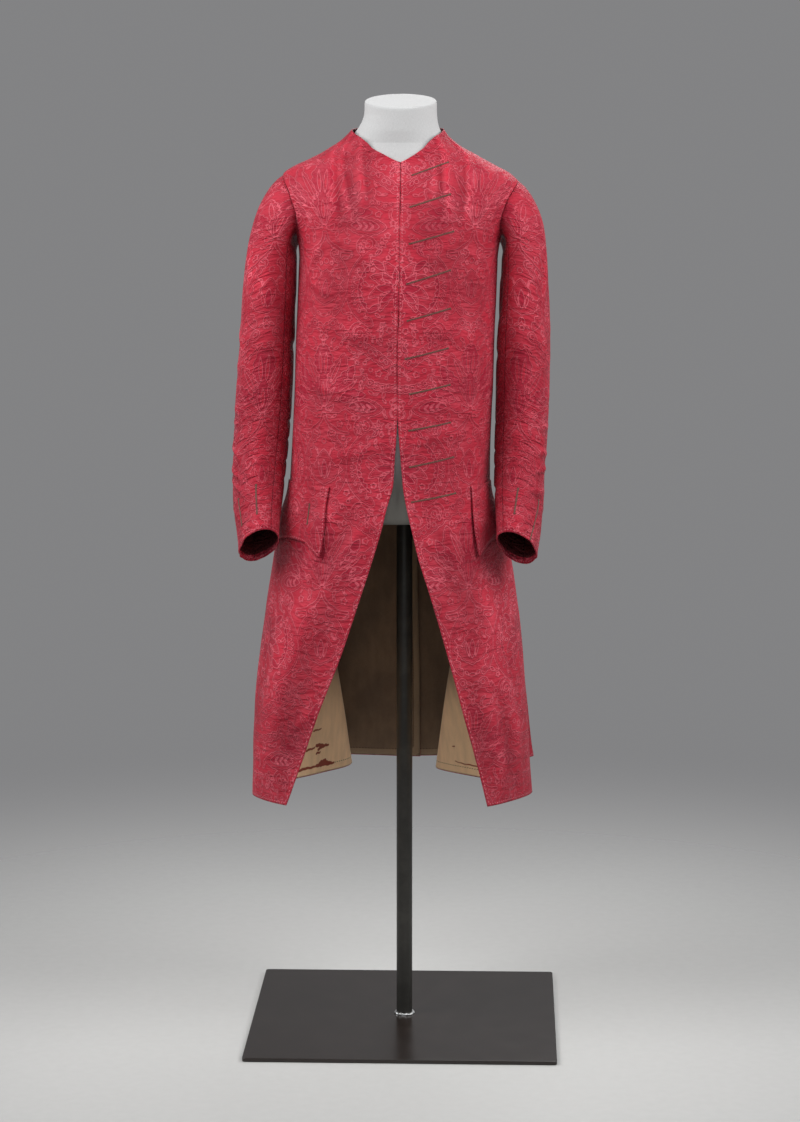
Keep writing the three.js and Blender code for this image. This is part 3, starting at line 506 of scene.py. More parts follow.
def cartouche(at, across, high, start, end, width, lobes, depth):
    """A scroll along an oval from one angle to another, lobed on its inner side."""
    angle = np.radians(np.linspace(start, end, 14))
    points = np.stack([at[0] + across * np.cos(angle), at[1] + high * np.sin(angle)], axis=-1)
    return ribbon(points, width, lobes, depth, samples=40 + 12 * lobes)


def tulip(base):
    """The pointed flower on a mirror line, with its sepals: only one half needs petals."""
    x, y = base
    ground = [petal((x - 3, y + 4), 124, 50, 22, -6), leaf((x - 4, y + 3), 152, 46, 16, 4, 0.25, 6)]
    figure = [petal((x, y + 6), 90, 52, 20), petal((x - 2, y + 5), 107, 48, 13, -4)]
    detail = [leaf((x, y + 16), 90, 30, 6)]
    detail += [leaf((x - 2 - 5 * n, y + 2 - n), 165 - 25 * n, 12, 5) for n in range(3)]
    detail += [leaf((x - 9, y + 16), 122, 26, 5, bend=-2)]
    return ground, figure, detail


def flames(base, reach):
    """Serrated leaves that fan out above the flower."""
    x, y = base
    ground = [leaf((x - 8, y + 34), 118, reach, 24, 5, 0.35, 6)]
    ground += [leaf((x - 20, y + 24), 148, reach, 22, 5, 0.35, 6)]
    figure = [leaf((x - 3, y + 52), 92, reach * 0.8, 22, 4, 0.4)]
    figure += [leaf((x - 14, y + 30), 134, reach * 0.9, 18, 4, 0.4, 5)]
    figure += [leaf((x - 28, y + 16), 168, reach * 0.7, 15, 4, 0.4, -4)]
    detail = [leaf((x - 12, y + 42), 118, reach * 0.7, 6), leaf((x - 4, y + 56), 94, reach * 0.55, 6)]
    detail += [leaf((x - 26, y + 30), 148, reach * 0.6, 5, bend=4)]
    return ground, figure, detail


def scroll_frame(centre, lobes):
    """Scrolls round the flower on the other mirror line, from a curl down to a curl, with a
    bead in each lobe."""
    x, y = centre
    ground = [cartouche((x, y), 78, 66, 66, -62, 9, lobes, 10.5)]
    ground += [curl((x + 50, y + 64), 268, 1.5, 17, 4, 5), curl((x + 58, y - 68), 100, -1.35, 15, 4, 5)]
    figure = [cartouche((x, y), 62, 52, 50, -48, 2.2, lobes, 4.5)]
    detail = [blossom((x + 50, y + 64), 3.6, 8, 0.0), blossom((x + 58, y - 68), 3.2, 8, 0.0)]
    beads = np.radians(np.linspace(58, -54, lobes + 1)[:-1] - 112 / lobes / 2)
    detail += [blossom((x + 72 * np.cos(a), y + 61 * np.sin(a)), 2.5, 8, 0.0) for a in beads]
    return ground, figure, detail


def heart_flower(centre, dark):
    """The open flower inside the scrolls, with narrow serrated petals all round."""
    x, y = centre
    ground = [leaf((x + 6, y), angle, 44, 15, 4, 0.25, 4) for angle in (62, 22, -22, -60)]
    figure = [leaf((x + 2, y), angle, 34, 11, 3, 0.2, -3) for angle in (90, 42, 2, -42, -84)]
    figure += [leaf((x + 24, y + 26), 40, 24, 10), leaf((x + 26, y - 26), -30, 24, 10)] if dark else []
    detail = [blossom((x, y), 11, 6, 0.35)]
    detail += [leaf((x + 12, y + 5), 22, 20, 4), leaf((x + 12, y - 6), -24, 20, 4)]
    return ground, figure, detail


def clouds(points, count, size):
    """A band of scallops along a line: discs that overlap, so that only their outer edge is
    left, with a smaller disc in every other one."""
    points = np.array(points, float)
    t = np.linspace(0, 1, count)
    knots = np.linspace(0, 1, len(points))
    line = np.stack([catmull(knots, points[:, axis], t) for axis in range(2)], axis=-1)
    ground = [blossom(spot, size, 8, 0.0) for spot in line]
    figure = [leaf(spot, 60 + 12 * n, size * 1.2, size * 0.6) for n, spot in enumerate(line[1::2])]
    detail = [blossom(spot + [0.8, 1.0], size * 0.42, 8, 0.0) for spot in line[::2]]
    return ground, figure, detail


def almond(at, angle, length, width):
    """A long almond with a serrated leaf inside it and veins that branch from its middle."""
    along = lambda share: turned(np.array([length * share]), np.array([0.0]), angle, at)[0]
    veins = [leaf(along(share), angle + turn, length * 0.16, width * 0.1)
             for share in (0.3, 0.44, 0.58) for turn in (38, -38)]
    return (
        [leaf(at, angle, length, width, 7, 0.12)],
        [leaf(along(0.17), angle, length * 0.68, width * 0.58, 5, 0.15, 2)],
        veins,
    )


def sprig(at, angle, size):
    """A five-petalled flower head with two leaves below it."""
    x, y = at
    stalk_top = (x, y - size)
    leaves = [leaf(stalk_top, angle - 130, size * 1.6, size * 0.7)]
    leaves += [leaf(stalk_top, angle - 60, size * 1.5, size * 0.6)]
    return [blossom(at, size, 5, 0.55, angle)], leaves, [blossom(at, size * 0.33, 5, 0.1)]


# Millimetres across and above the row's base, the way it leans in degrees, and its size
SPRIGS = ((28, -22, 90, 9), (56, -18, 70, 7.5), (6, 104, 90, 8), (44, 118, 80, 7), (22, 128, 120, 6))
# The two rows of a repeat: height of the base, whether the open flower has more petals, and how
# far the leaves reach
MOTIF_ROWS = ((58.0, False, 62.0), (332.0, True, 74.0))


def pattern_shapes():
    """All the motifs of one half repeat, in the three layers of the weave: the large shapes, the
    satin figures in them, and what is opened in the figures again."""
    axis = REPEAT_HALF
    motifs = []
    for base_y, dark, reach in MOTIF_ROWS:
        motifs += [tulip((axis, base_y)), flames((axis, base_y), reach)]
        motifs += [scroll_frame((0, base_y - 88), 9), heart_flower((0, base_y - 88), dark)]
        motifs += [scroll_frame_back((axis, base_y - 84))]
        stalk = ribbon([(axis - 1, base_y - 2), (axis - 6, base_y - 16), (axis - 24, base_y - 30),
                        (axis - 44, base_y - 34)], 4.5)
        motifs += [([stalk], [], [])]
        motifs += [almond((20, base_y + 2), 6, 66, 27)]
        upper_band = [(6, base_y + 62), (34, base_y + 84), (62, base_y + 104), (100, base_y + 132)]
        lower_band = [(3, base_y + 34), (26, base_y + 36), (50, base_y + 46)]
        motifs += [clouds(upper_band, 11, 8.5), clouds(lower_band, 6, 6.5)]
        for x, above, angle, size in SPRIGS:
            motifs += [sprig((x, base_y + above), angle, size)]
        buds = [blossom((40, base_y + 62), 3.4, 5, 0.1), blossom((12, base_y + 84), 3, 5, 0.1)]
        motifs += [(buds, [], [])]
    return motifs


def scroll_frame_back(centre):
    """The narrow leaf-shaped frame on the flower's own mirror line."""
    x, y = centre
    ground = [cartouche((x, y), 36, 50, 244, 112, 7, 7, 6.5), curl((x - 14, y + 50), 60, 1.2, 11, 3, 4)]
    ground += [leaf((x, y - 30), 90, 56, 30, 6, 0.3), leaf((x - 4, y - 26), 128, 36, 13, 4, 0.3)]
    figure = [leaf((x, y - 20), 90, 30, 9)]
    detail = [leaf((x - 5, y - 18), 104, 26, 4), blossom((x, y + 38), 4, 8, 0.0)]
    return ground, figure, detail


def draw_shape(field, outline):
    """Raises the field to the shape's signed distance: positive inside, by the crossings of a
    level line with its edges, and negative outside."""
    rows, columns = field.shape
    low = np.floor((outline.min(0) - FIELD_LIMIT + PATTERN_MARGIN) / PATTERN_CELL).astype(int)
    high = np.ceil((outline.max(0) + FIELD_LIMIT + PATTERN_MARGIN) / PATTERN_CELL).astype(int)
    c0, r0 = np.maximum(low, 0)
    c1, r1 = np.minimum(high, (columns, rows))
    if c1 <= c0 or r1 <= r0:
        return
    x = np.arange(c0, c1) * PATTERN_CELL - PATTERN_MARGIN
    y = np.arange(r0, r1) * PATTERN_CELL - PATTERN_MARGIN
    px, py = np.meshgrid(x, y)
    start, end = outline, np.roll(outline, -1, axis=0)
    distance = np.full(px.shape, FIELD_LIMIT**2)
    inside = np.zeros(px.shape, bool)
    for (ax, ay), (bx, by) in zip(start, end):
        dx, dy = bx - ax, by - ay
        t = np.clip(((px - ax) * dx + (py - ay) * dy) / max(dx * dx + dy * dy, TINY), 0, 1)
        distance = np.minimum(distance, (px - ax - t * dx) ** 2 + (py - ay - t * dy) ** 2)
        if ay != by:
            crosses = (ay > py) != (by > py)
            inside ^= crosses & (px < ax + (py - ay) * dx / dy)
    signed = np.where(inside, 1, -1) * np.sqrt(distance)
    window = field[r0:r1, c0:c1]
    np.maximum(window, signed, out=window)


SCATTERED = {"two leaves": 0.45, "flower": 0.75}  # chances below these; above, a bead and a leaf


def scatter(fields, count, layer, seed, least):
    """Small leaves, buds and beads in what the large motifs leave empty: seeded places, each
    kept if no edge of any layer lies within the least distance. The chance drawn with a place
    picks one of three kinds and turns it."""
    places = np.random.default_rng(seed).uniform(0, 1, (count, 3)) * [REPEAT_HALF, REPEAT_HEIGHT, 1]
    for x, y, chance in places:
        c, r = int((x + PATTERN_MARGIN) / PATTERN_CELL), int((y + PATTERN_MARGIN) / PATTERN_CELL)
        room = min(abs(field[r, c]) for field in fields)
        if room < least:
            continue
        size, angle = min(room, FIELD_LIMIT) * 1.5, 360 * chance
        if chance < SCATTERED["two leaves"]:
            shapes = [leaf((x, y), angle, size, size * 0.42)]
            shapes += [leaf((x, y), angle + 130, size * 0.8, size * 0.36)]
        elif chance < SCATTERED["flower"]:
            shapes = [blossom((x, y), size * 0.5, 5, 0.5, angle)]
        else:
            shapes = [blossom((x, y), size * 0.24, 8, 0.0)]
            shapes += [leaf((x, y + size * 0.3), angle / 2, size, size * 0.3)]
        for outline in shapes:
            for shift in (-REPEAT_HEIGHT, 0, REPEAT_HEIGHT):
                draw_shape(fields[layer], outline + [0, shift])


def pattern_fields():
    """Three grids of signed distances over one half repeat and its margins. Shapes near the
    bottom or top are drawn again a repeat higher or lower."""
    size = (int((REPEAT_HEIGHT + 2 * PATTERN_MARGIN) / PATTERN_CELL) + 2,
            int((REPEAT_HALF + 2 * PATTERN_MARGIN) / PATTERN_CELL) + 2)
    fields = [np.full(size, -FIELD_LIMIT) for _ in range(3)]
    for layers in pattern_shapes():
        for field, outlines in zip(fields, layers):
            for outline in outlines:
                for shift in (-REPEAT_HEIGHT, 0, REPEAT_HEIGHT):
                    draw_shape(field, outline + [0, shift])
    scatter(fields, count=1500, layer=2, seed=11, least=6.5)
    scatter(fields, count=1100, layer=0, seed=12, least=4.8)
    return fields


def pattern_value(field, across, up):
    """The field at places on the cloth: folded back at each mirror line, repeated upwards, and
    blended between its four nearest cells."""
    folded = np.abs((across + REPEAT_HALF) % (2 * REPEAT_HALF) - REPEAT_HALF)
    column = (folded + PATTERN_MARGIN) / PATTERN_CELL
    row = (up % REPEAT_HEIGHT + PATTERN_MARGIN) / PATTERN_CELL
    c, r = column.astype(int), row.astype(int)
    u, v = column - c, row - r
    return (
        field[r, c] * (1 - u) * (1 - v) + field[r, c + 1] * u * (1 - v)
        + field[r + 1, c] * (1 - u) * v + field[r + 1, c + 1] * u * v
    )


pattern = pattern_fields()
print("pattern grid", pattern[0].shape, "cells of", PATTERN_CELL, "mm")


def woven_fields(across, up):
    """The three layers' distances at each point of a sheet."""
    return {f"figure_{layer}": pattern_value(field, across, up) for layer, field in zip("abc", pattern)}


# %% [markdown]
# ## Materials
#
# A material is a tree of nodes. Each starts from what the real stuff is called and how it is
# made, and a comment says what that gives the eye. Painted pictures could carry the same marks,
# but nodes that read the cloth's own lengths stay sharp close up, and the weave follows each
# panel's grain. A few small helpers keep the trees short.

# %% Helpers for materials
def linear(hex_colour):
    """A colour written in sRGB hex, turned to linear light by the sRGB curve."""
    parts = [int(hex_colour[i : i + 2], 16) / 255 for i in (1, 3, 5)]
    return (*[v / 12.92 if v <= 0.04045 else ((v + 0.055) / 1.055) ** 2.4 for v in parts], 1.0)


def add(tree, kind, inputs=None, **settings):
    """Adds a node, sets its properties and fills its sockets with values or links."""
    made = tree.nodes.new(kind)
    for name, value in settings.items():
        setattr(made, name, value)
    for socket, value in (inputs or {}).items():
        if isinstance(value, bpy.types.NodeSocket):
            tree.links.new(value, made.inputs[socket])
        else:
            made.inputs[socket].default_value = value
    return made


def new_material(name):
    """A named material with an empty node tree and its output."""
    material = bpy.data.materials.new(name)
    material.use_nodes = True
    material.node_tree.nodes.clear()
    return material, material.node_tree


def soft_mask(tree, value, full, none):
    """1 where the value is at full, 0 at none, and a smooth step between."""
    made = add(tree, "ShaderNodeMapRange",
               {"Value": value, "From Min": none, "From Max": full},
               interpolation_type="SMOOTHSTEP")
    return made.outputs["Result"]


def blend_colour(tree, amount, first, second):
    """A colour between two. The Mix node's sockets 6 and 7 and its output 2 are the ones that
    hold colours."""
    return add(tree, "ShaderNodeMix", {0: amount, 6: first, 7: second}, data_type="RGBA").outputs[2]


def arithmetic(tree, operation, first, second=0.0):
    """One step of arithmetic on two numbers or sockets."""
    return add(tree, "ShaderNodeMath", {0: first, 1: second}, operation=operation).outputs[0]


def times(tree, first, second):
    """The product of two numbers or sockets."""
    return arithmetic(tree, "MULTIPLY", first, second)


def away_from(tree, value, middle):
    """How far a value lies from a middle one, either way."""
    return arithmetic(tree, "ABSOLUTE", arithmetic(tree, "SUBTRACT", value, middle))


def ranged(tree, value, low, high, to_low, to_high):
    """A value mapped in a straight line from one range to another and held there."""
    made = add(tree, "ShaderNodeMapRange", {
        "Value": value, "From Min": low, "From Max": high, "To Min": to_low, "To Max": to_high})
    return made.outputs["Result"]


def noise(tree, place, scale, detail, **inputs):
    """A soft noise read at a place. Where the scale is three numbers, the place is stretched by
    them, so that the noise has its own size each way."""
    if not isinstance(scale, float):
        place = add(tree, "ShaderNodeMapping", {"Vector": place, "Scale": scale}).outputs["Vector"]
        scale = 1.0
    made = add(tree, "ShaderNodeTexNoise", {"Vector": place, "Scale": scale, "Detail": detail, **inputs})
    return made.outputs["Fac"]


def bumped(tree, height, strength, distance):
    """A normal turned by a height, as if the surface rose by the distance in metres."""
    made = add(tree, "ShaderNodeBump", {"Height": height, "Strength": strength, "Distance": distance})
    return made.outputs["Normal"]


def stitches(tree, uv, pitch, full, none):
    """Marks at an even pitch in millimetres along a line that runs either way on the cloth."""
    lengths = add(tree, "ShaderNodeSeparateXYZ", {"Vector": uv})
    along = arithmetic(tree, "ADD", lengths.outputs["X"], lengths.outputs["Y"])
    phase = arithmetic(tree, "FRACT", times(tree, along, 1000 / pitch))
    return soft_mask(tree, away_from(tree, phase, 0.5), full, none)


def principled_of(material):
    """A material's main shader, and the socket that its base colour comes from."""
    shader = next(node for node in material.node_tree.nodes if node.type == "BSDF_PRINCIPLED")
    return shader, shader.inputs["Base Color"].links[0].from_socket


# %% [markdown]
# ## The silk
#
# Silk damask is a yarn-dyed silk, figured on a drawloom. The ribbed ground scatters light, the
# satin shines along its floats, and the outlines stand up a little and catch the light. The ridges
# of the folds are painted paler and their troughs darker, as painted light and shade, and two and a
# half centuries have left the cloth finely crinkled. The crinkles could be sculpted too, but below a
# millimetre a bump shows the same and costs nothing.

# %% Silk damask
SILK_GROUND = "#AC2A3A"
SILK_SATIN = "#9C2335"
SILK_FIGURE = "#A52838"
# the raised outlines, painted paler as a painted highlight where they catch the light
SILK_OUTLINE_HIGHLIGHT = "#D05C6A"
SILK_WORN = "#BD4A58"  # paler in patches, where the dye has gone
SILK_LINING_IN_SHADE = "#2A1A16"  # the lining inside the sleeves and body, painted near black as painted shade inside them
SILK_SEAM = "#7A1E2C"  # the shadow in a seam and under a turned edge
SILK_PRICKS = "#E09098"  # silk thread that catches the light
SILK_GLOSS, SILK_SHEEN = "#FF8A98", "#F08090"  # dyed fibres colour what they reflect
FACING_WIDTH = 11.0  # millimetres of silk turned in at an edge, before the lining begins
OUTLINE_WIDTH = 1.05  # millimetres from a figure's edge to where its outline has gone
ECHO_INSET = 2.5  # millimetres from the outline of a large figure to its second, fainter line
PRICK_PITCH, PRICK_INSET = 5.0, 3.6  # millimetres: small stitches along the turned edges
# The ground's real ribs are about 0.5 mm apart, too fine to show, and a faint swell stands for
# them. A wave texture repeats every 2 pi / 20 of a scaled metre, which is 10 mm at this scale.
SWELL_SCALE = 31.25
FIGURE_EDGE = (0.9, 0.2)  # millimetres inside an outline where the figure is full, and where none
SHADED_FROM, SHADED_TO = 0.45, 1.15  # metres: painted shade, the skirt is painted a little darker than the shoulders, as the light falls from above
SLUB_SCALE = (90.0, 900.0, 1.0)  # repeats a metre across and along the cloth
CRINKLE_SCALE = (55.0, 150.0, 1.0)
CRUMPLE_SCALE = (24.0, 74.0, 1.0)
CRUMPLE_REACH = 0.16  # how far the noise may leave its middle before a crumple's ridge ends
# How far each part of the relief stands up, in bump distances of SILK_BUMP metres
SILK_RELIEF = {"outline": 0.85, "figure": 0.2, "satin": -0.15, "crinkle": 1.9, "crumples": 9.5,
               "swell": 0.05, "seam": -0.5}
SILK_BUMP = 0.0013


def silk_layers(tree):
    """What the weave shows at a place: the thin outlines, the satin and the large shapes."""
    figure = {
        layer: add(tree, "ShaderNodeAttribute", attribute_name=f"figure_{layer}").outputs["Fac"]
        for layer in "abc"
    }
    lines = [
        soft_mask(tree, arithmetic(tree, "ABSOLUTE", distance), 0.35, OUTLINE_WIDTH)
        for distance in figure.values()
    ]
    outline = arithmetic(tree, "MAXIMUM", arithmetic(tree, "MAXIMUM", *lines[:2]), lines[2])
    echo = times(tree, soft_mask(tree, away_from(tree, figure["a"], ECHO_INSET), 0.2, 0.75), 0.55)
    outline = arithmetic(tree, "MAXIMUM", outline, echo)
    shape, satin, opened = (soft_mask(tree, figure[layer], *FIGURE_EDGE) for layer in "abc")
    satin = arithmetic(tree, "SUBTRACT", satin, opened)
    satin = add(tree, "ShaderNodeClamp", {"Value": satin}).outputs[0]
    return outline, satin, shape


def silk_material():
    """Silk damask, yarn-dyed crimson, woven with satin figures on a ribbed ground. Satin floats
    are smooth, so they shine more than the ground; fibres of silk give a faint coloured sheen."""
    material, tree = new_material("silk damask, woven")
    outline, satin, shape = silk_layers(tree)
    read = lambda name: add(tree, "ShaderNodeAttribute", attribute_name=name).outputs["Fac"]
    crumpled, rubbed, from_edge, inner_side = map(read, ("crumpled", "rubbed", "edge_mm", "inner_side"))
    uv = add(tree, "ShaderNodeUVMap", uv_map="cloth").outputs["UV"]
    place = add(tree, "ShaderNodeTexCoord").outputs["Object"]
    broad = noise(tree, place, 9.0, 3.0)
    patches = noise(tree, place, 34.0, 4.0, Roughness=0.6)

    colour = blend_colour(tree, shape, linear(SILK_GROUND), linear(SILK_FIGURE))
    colour = blend_colour(tree, satin, colour, linear(SILK_SATIN))
    worn = times(tree, soft_mask(tree, patches, 0.72, 0.42), 0.35)
    colour = blend_colour(tree, worn, colour, linear(SILK_WORN))
    # Painted highlight: the outlines are painted paler where they catch the light, more in some patches than
    # in others.
    spread = arithmetic(tree, "ADD", times(tree, patches, 0.5), times(tree, broad, 0.5))
    outline_highlight = ranged(tree, spread, 0.4, 0.6, 0.3, 0.9)
    colour = blend_colour(tree, times(tree, outline, outline_highlight), colour, linear(SILK_OUTLINE_HIGHLIGHT))

    cloudy = ranged(tree, broad, 0.3, 0.7, 0.86, 1.1)
    fleck = ranged(tree, noise(tree, uv, SLUB_SCALE, 2.0), 0.25, 0.75, 0.88, 1.1)
    # Painted light and shade on the folds: ridges painted paler, troughs painted darker.
    crease_light_factor = arithmetic(tree, "ADD", 1.0, times(tree, rubbed, 0.22))
    level = add(tree, "ShaderNodeSeparateXYZ", {"Vector": place}).outputs["Z"]
    # Painted shade: the silk is darker towards the hem and paler towards the shoulders.
    faded_and_shaded = ranged(tree, level, SHADED_FROM, SHADED_TO, 0.82, 1.06)
    shade = times(tree, times(tree, times(tree, cloudy, fleck), crease_light_factor), faded_and_shaded)
    colour = add(tree, "ShaderNodeHueSaturation", {"Value": shade, "Color": colour}).outputs["Color"]

    seam = soft_mask(tree, arithmetic(tree, "ABSOLUTE", read("seam_mm")), 0.2, 1.3)
    colour = blend_colour(tree, times(tree, seam, 0.45), colour, linear(SILK_SEAM))
    turned_edge = soft_mask(tree, from_edge, 0.0, 1.6)
    colour = blend_colour(tree, times(tree, turned_edge, 0.35), colour, linear(SILK_SEAM))
    # Past the facing the inner side is painted near black: partly the lining, partly painted shade inside the
    # sleeves and body.
    lining_in_shade = times(tree, inner_side, soft_mask(tree, from_edge, FACING_WIDTH, FACING_WIDTH - 2))
    colour = blend_colour(tree, times(tree, lining_in_shade, 0.9), colour, linear(SILK_LINING_IN_SHADE))
    in_line = soft_mask(tree, away_from(tree, from_edge, PRICK_INSET), 0.3, 0.9)
    pricks = times(tree, stitches(tree, uv, PRICK_PITCH, 0.1, 0.24), in_line)
    colour = blend_colour(tree, times(tree, pricks, 0.6), colour, linear(SILK_PRICKS))
    rough = ranged(tree, satin, 0.0, 1.0, 0.46, 0.33)
    rough = arithmetic(tree, "ADD", rough, times(tree, patches, 0.1))

    crumples = away_from(tree, noise(tree, uv, CRUMPLE_SCALE, 4.0, Roughness=0.5, Distortion=0.4), 0.5)
    crumples = arithmetic(tree, "MINIMUM", crumples, CRUMPLE_REACH)
    crumples = times(tree, arithmetic(tree, "SUBTRACT", CRUMPLE_REACH, crumples), crumpled)
    wave = {"Vector": uv, "Scale": SWELL_SCALE, "Distortion": 2.0, "Detail": 1.0}
    parts = {
        "outline": outline, "figure": shape, "satin": satin, "crumples": crumples, "seam": seam,
        "crinkle": noise(tree, uv, CRINKLE_SCALE, 3.0, Roughness=0.55),
        "swell": add(tree, "ShaderNodeTexWave", wave, bands_direction="Y").outputs["Fac"],
    }
    height = 0.0
    for name, gain in SILK_RELIEF.items():
        height = arithmetic(tree, "ADD", height, times(tree, parts[name], gain))
    shader = add(tree, "ShaderNodeBsdfPrincipled", {
        "Base Color": colour, "Roughness": rough, "Normal": bumped(tree, height, 1.0, SILK_BUMP),
        "IOR": 1.45, "Specular IOR Level": 0.45, "Specular Tint": linear(SILK_GLOSS),
        "Sheen Weight": 0.1, "Sheen Roughness": 0.4, "Sheen Tint": linear(SILK_SHEEN),
    })
    add(tree, "ShaderNodeOutputMaterial", {"Surface": shader.outputs["BSDF"]})
    return material


silk = silk_material()
print("silk nodes", len(silk.node_tree.nodes))


# %% [markdown]
# ## Lining, jersey, steel and thread
#
# The lining is a brown plain-woven linen, painted paler where light falls on it, and split near the hem.
# The form's cover is a fine cotton jersey. The tube is blackened steel, the plate is steel with a
# brown patina under wax, and the weld between them is bare. The buttonholes are worked in a
# twisted silk. All are plain stuffs, so two functions make them from a few numbers each, and two
# more add what belongs only to the lining or the cover.

# %% Lining, jersey, steel and thread
HEM_STITCH, HEM_INSET = 5.0, 11.0  # millimetres: stitch length and the hem's depth
LINING_IN_LIGHT = "#F2CCA2"
# Painted light: the lining's hem band is painted paler, where light from the floor reaches it.
LINING_HEM_LIGHT = "#E6C8A0"
# Painted shade: a darker band along the lining's edges.
LINING_EDGE_SHADE = "#5A4632"
LINING_STITCH = "#3A2A1C"
LINING_FRAYED = "#8A3A26"  # rust-red threads show where the weave has split
LINING_SLUBS = (110.0, 30.0, 1.0)
FORM_LOW_GREY = "#6E6C66"
FORM_LOW_GREY_Z = (0.955, 0.85)  # metres: where the white cover turns darker grey towards the bottom


def plain_cloth(name, base, faded_and_shaded, scale_x, scale_y, rough, relief, stain=0.25):
    """A plain woven or knitted cloth: threads as two crossed noises along the grain, faded and
    stained in broad patches. Loose fibres give it a matt look with a soft sheen."""
    material, tree = new_material(name)
    uv = add(tree, "ShaderNodeUVMap", uv_map="cloth").outputs["UV"]
    place = add(tree, "ShaderNodeTexCoord").outputs["Object"]
    warp = noise(tree, uv, (scale_x, scale_y / 8, 1), 2.0)
    weft = noise(tree, uv, (scale_x / 8, scale_y, 1), 2.0)
    threads = arithmetic(tree, "ADD", warp, weft)
    fade = times(tree, soft_mask(tree, noise(tree, place, 14.0, 4.0), 0.7, 0.35), stain * 2)
    colour = blend_colour(tree, fade, linear(base), linear(faded_and_shaded))
    value = ranged(tree, threads, 0.6, 1.4, 0.85, 1.12)
    colour = add(tree, "ShaderNodeHueSaturation", {"Value": value, "Color": colour}).outputs["Color"]
    shader = add(tree, "ShaderNodeBsdfPrincipled", {
        "Base Color": colour, "Roughness": rough, "Normal": bumped(tree, threads, relief, 0.0005),
        "IOR": 1.5, "Specular IOR Level": 0.25, "Sheen Weight": 0.15, "Sheen Roughness": 0.6,
    })
    add(tree, "ShaderNodeOutputMaterial", {"Surface": shader.outputs["BSDF"]})
    return material


def finish_lining(material):
    """Adds to the plain weave painted light where light falls on it, a line of hem stitches, a little
    painted light on the hem, painted shade along the edges and rust-red frays where the weave has split."""
    tree = material.node_tree
    shader, colour = principled_of(material)
    read = lambda name: add(tree, "ShaderNodeAttribute", attribute_name=name).outputs["Fac"]
    in_light, from_edge, from_split = map(read, ("in_light", "edge_mm", "split_mm"))
    # Painted light: the lining is painted paler where light falls on it.
    colour = blend_colour(tree, in_light, colour, linear(LINING_IN_LIGHT))
    uv = add(tree, "ShaderNodeUVMap", uv_map="cloth").outputs["UV"]
    value = ranged(tree, noise(tree, uv, LINING_SLUBS, 3.0), 0.3, 0.7, 0.9, 1.07)
    colour = add(tree, "ShaderNodeHueSaturation", {"Value": value, "Color": colour}).outputs["Color"]
    line = soft_mask(tree, away_from(tree, from_edge, HEM_INSET), 0.3, 1.2)
    sewn = times(tree, stitches(tree, uv, HEM_STITCH, 0.2, 0.32), line)
    colour = blend_colour(tree, times(tree, sewn, 0.75), colour, linear(LINING_STITCH))
    # Painted light: the hem band is painted a little paler, where light from the floor falls on it.
    hem_light = soft_mask(tree, from_edge, HEM_INSET - 2, HEM_INSET)
    colour = blend_colour(tree, times(tree, hem_light, 0.15), colour, linear(LINING_HEM_LIGHT))
    # Painted shade: a darker band along the lining's edges.
    fold = soft_mask(tree, from_edge, 0.0, 2.2)
    colour = blend_colour(tree, times(tree, fold, 0.5), colour, linear(LINING_EDGE_SHADE))
    frayed = soft_mask(tree, from_split, 0.0, 0.9)
    colour = blend_colour(tree, frayed, colour, linear(LINING_FRAYED))
    tree.links.new(colour, shader.inputs["Base Color"])
    return material


def finish_cover(material):
    """Low on the form, inside the coat, the white cover turns darker grey towards the bottom."""
    tree = material.node_tree
    shader, white = principled_of(material)
    place = add(tree, "ShaderNodeTexCoord").outputs["Object"]
    level = add(tree, "ShaderNodeSeparateXYZ", {"Vector": place}).outputs["Z"]
    # The cover is darker grey towards the bottom of the form.
    bare = soft_mask(tree, level, FORM_LOW_GREY_Z[1], FORM_LOW_GREY_Z[0])
    mixed = blend_colour(tree, bare, white, linear(FORM_LOW_GREY))
    tree.links.new(mixed, shader.inputs["Base Color"])
    return material


def steel(name, base, light, rough, uneven, metal, scale, grain):
    """Steel, mottled in patches that are also rougher or smoother, with a fine grain. Bare steel
    is fully metallic. A finish lies on the metal, so it shines as one only partly or not at all."""
    material, tree = new_material(name)
    place = add(tree, "ShaderNodeTexCoord").outputs["Object"]
    fine = noise(tree, place, grain, 4.0)
    patches = noise(tree, place, float(scale), 5.0, Roughness=0.65)
    colour = blend_colour(tree, soft_mask(tree, patches, 0.72, 0.4), linear(base), linear(light))
    value = ranged(tree, fine, 0.3, 0.7, 0.88, 1.12)
    colour = add(tree, "ShaderNodeHueSaturation", {"Value": value, "Color": colour}).outputs["Color"]
    shader = add(tree, "ShaderNodeBsdfPrincipled", {
        "Base Color": colour, "Metallic": metal, "Normal": bumped(tree, fine, 0.12, 0.0004),
        "Roughness": ranged(tree, patches, 0.3, 0.7, rough - uneven, rough + uneven),
    })
    add(tree, "ShaderNodeOutputMaterial", {"Surface": shader.outputs["BSDF"]})
    return material


lining_cloth = finish_lining(
    plain_cloth("linen lining, plain woven", "#78604A", "#504034", 1500, 1500, 0.85, 0.4))
jersey = finish_cover(
    plain_cloth("cotton jersey, knitted cover", "#BFBFBF", "#B8B8B7", 1300, 1700, 0.75, 0.02, 0.06))
blackened = steel("steel tube, blackened", "#393835", "#4A4844", 0.39, 0.09, 0.6, 14, (60, 60, 6))
patinated = steel(
    "steel plate, patinated and waxed", "#1F1713", "#221A16", 0.25, 0.02, 0.0, 22, (40, 40, 40))
bare_weld = steel("steel weld, bare", "#B4B6B6", "#EEEFEE", 0.3, 0.09, 1.0, 220, (300, 300, 300))
thread = plain_cloth("silk twist, brown", "#663A32", "#5E4A34", 2200, 700, 0.55, 0.8)
print("materials", [material.name for material in bpy.data.materials])

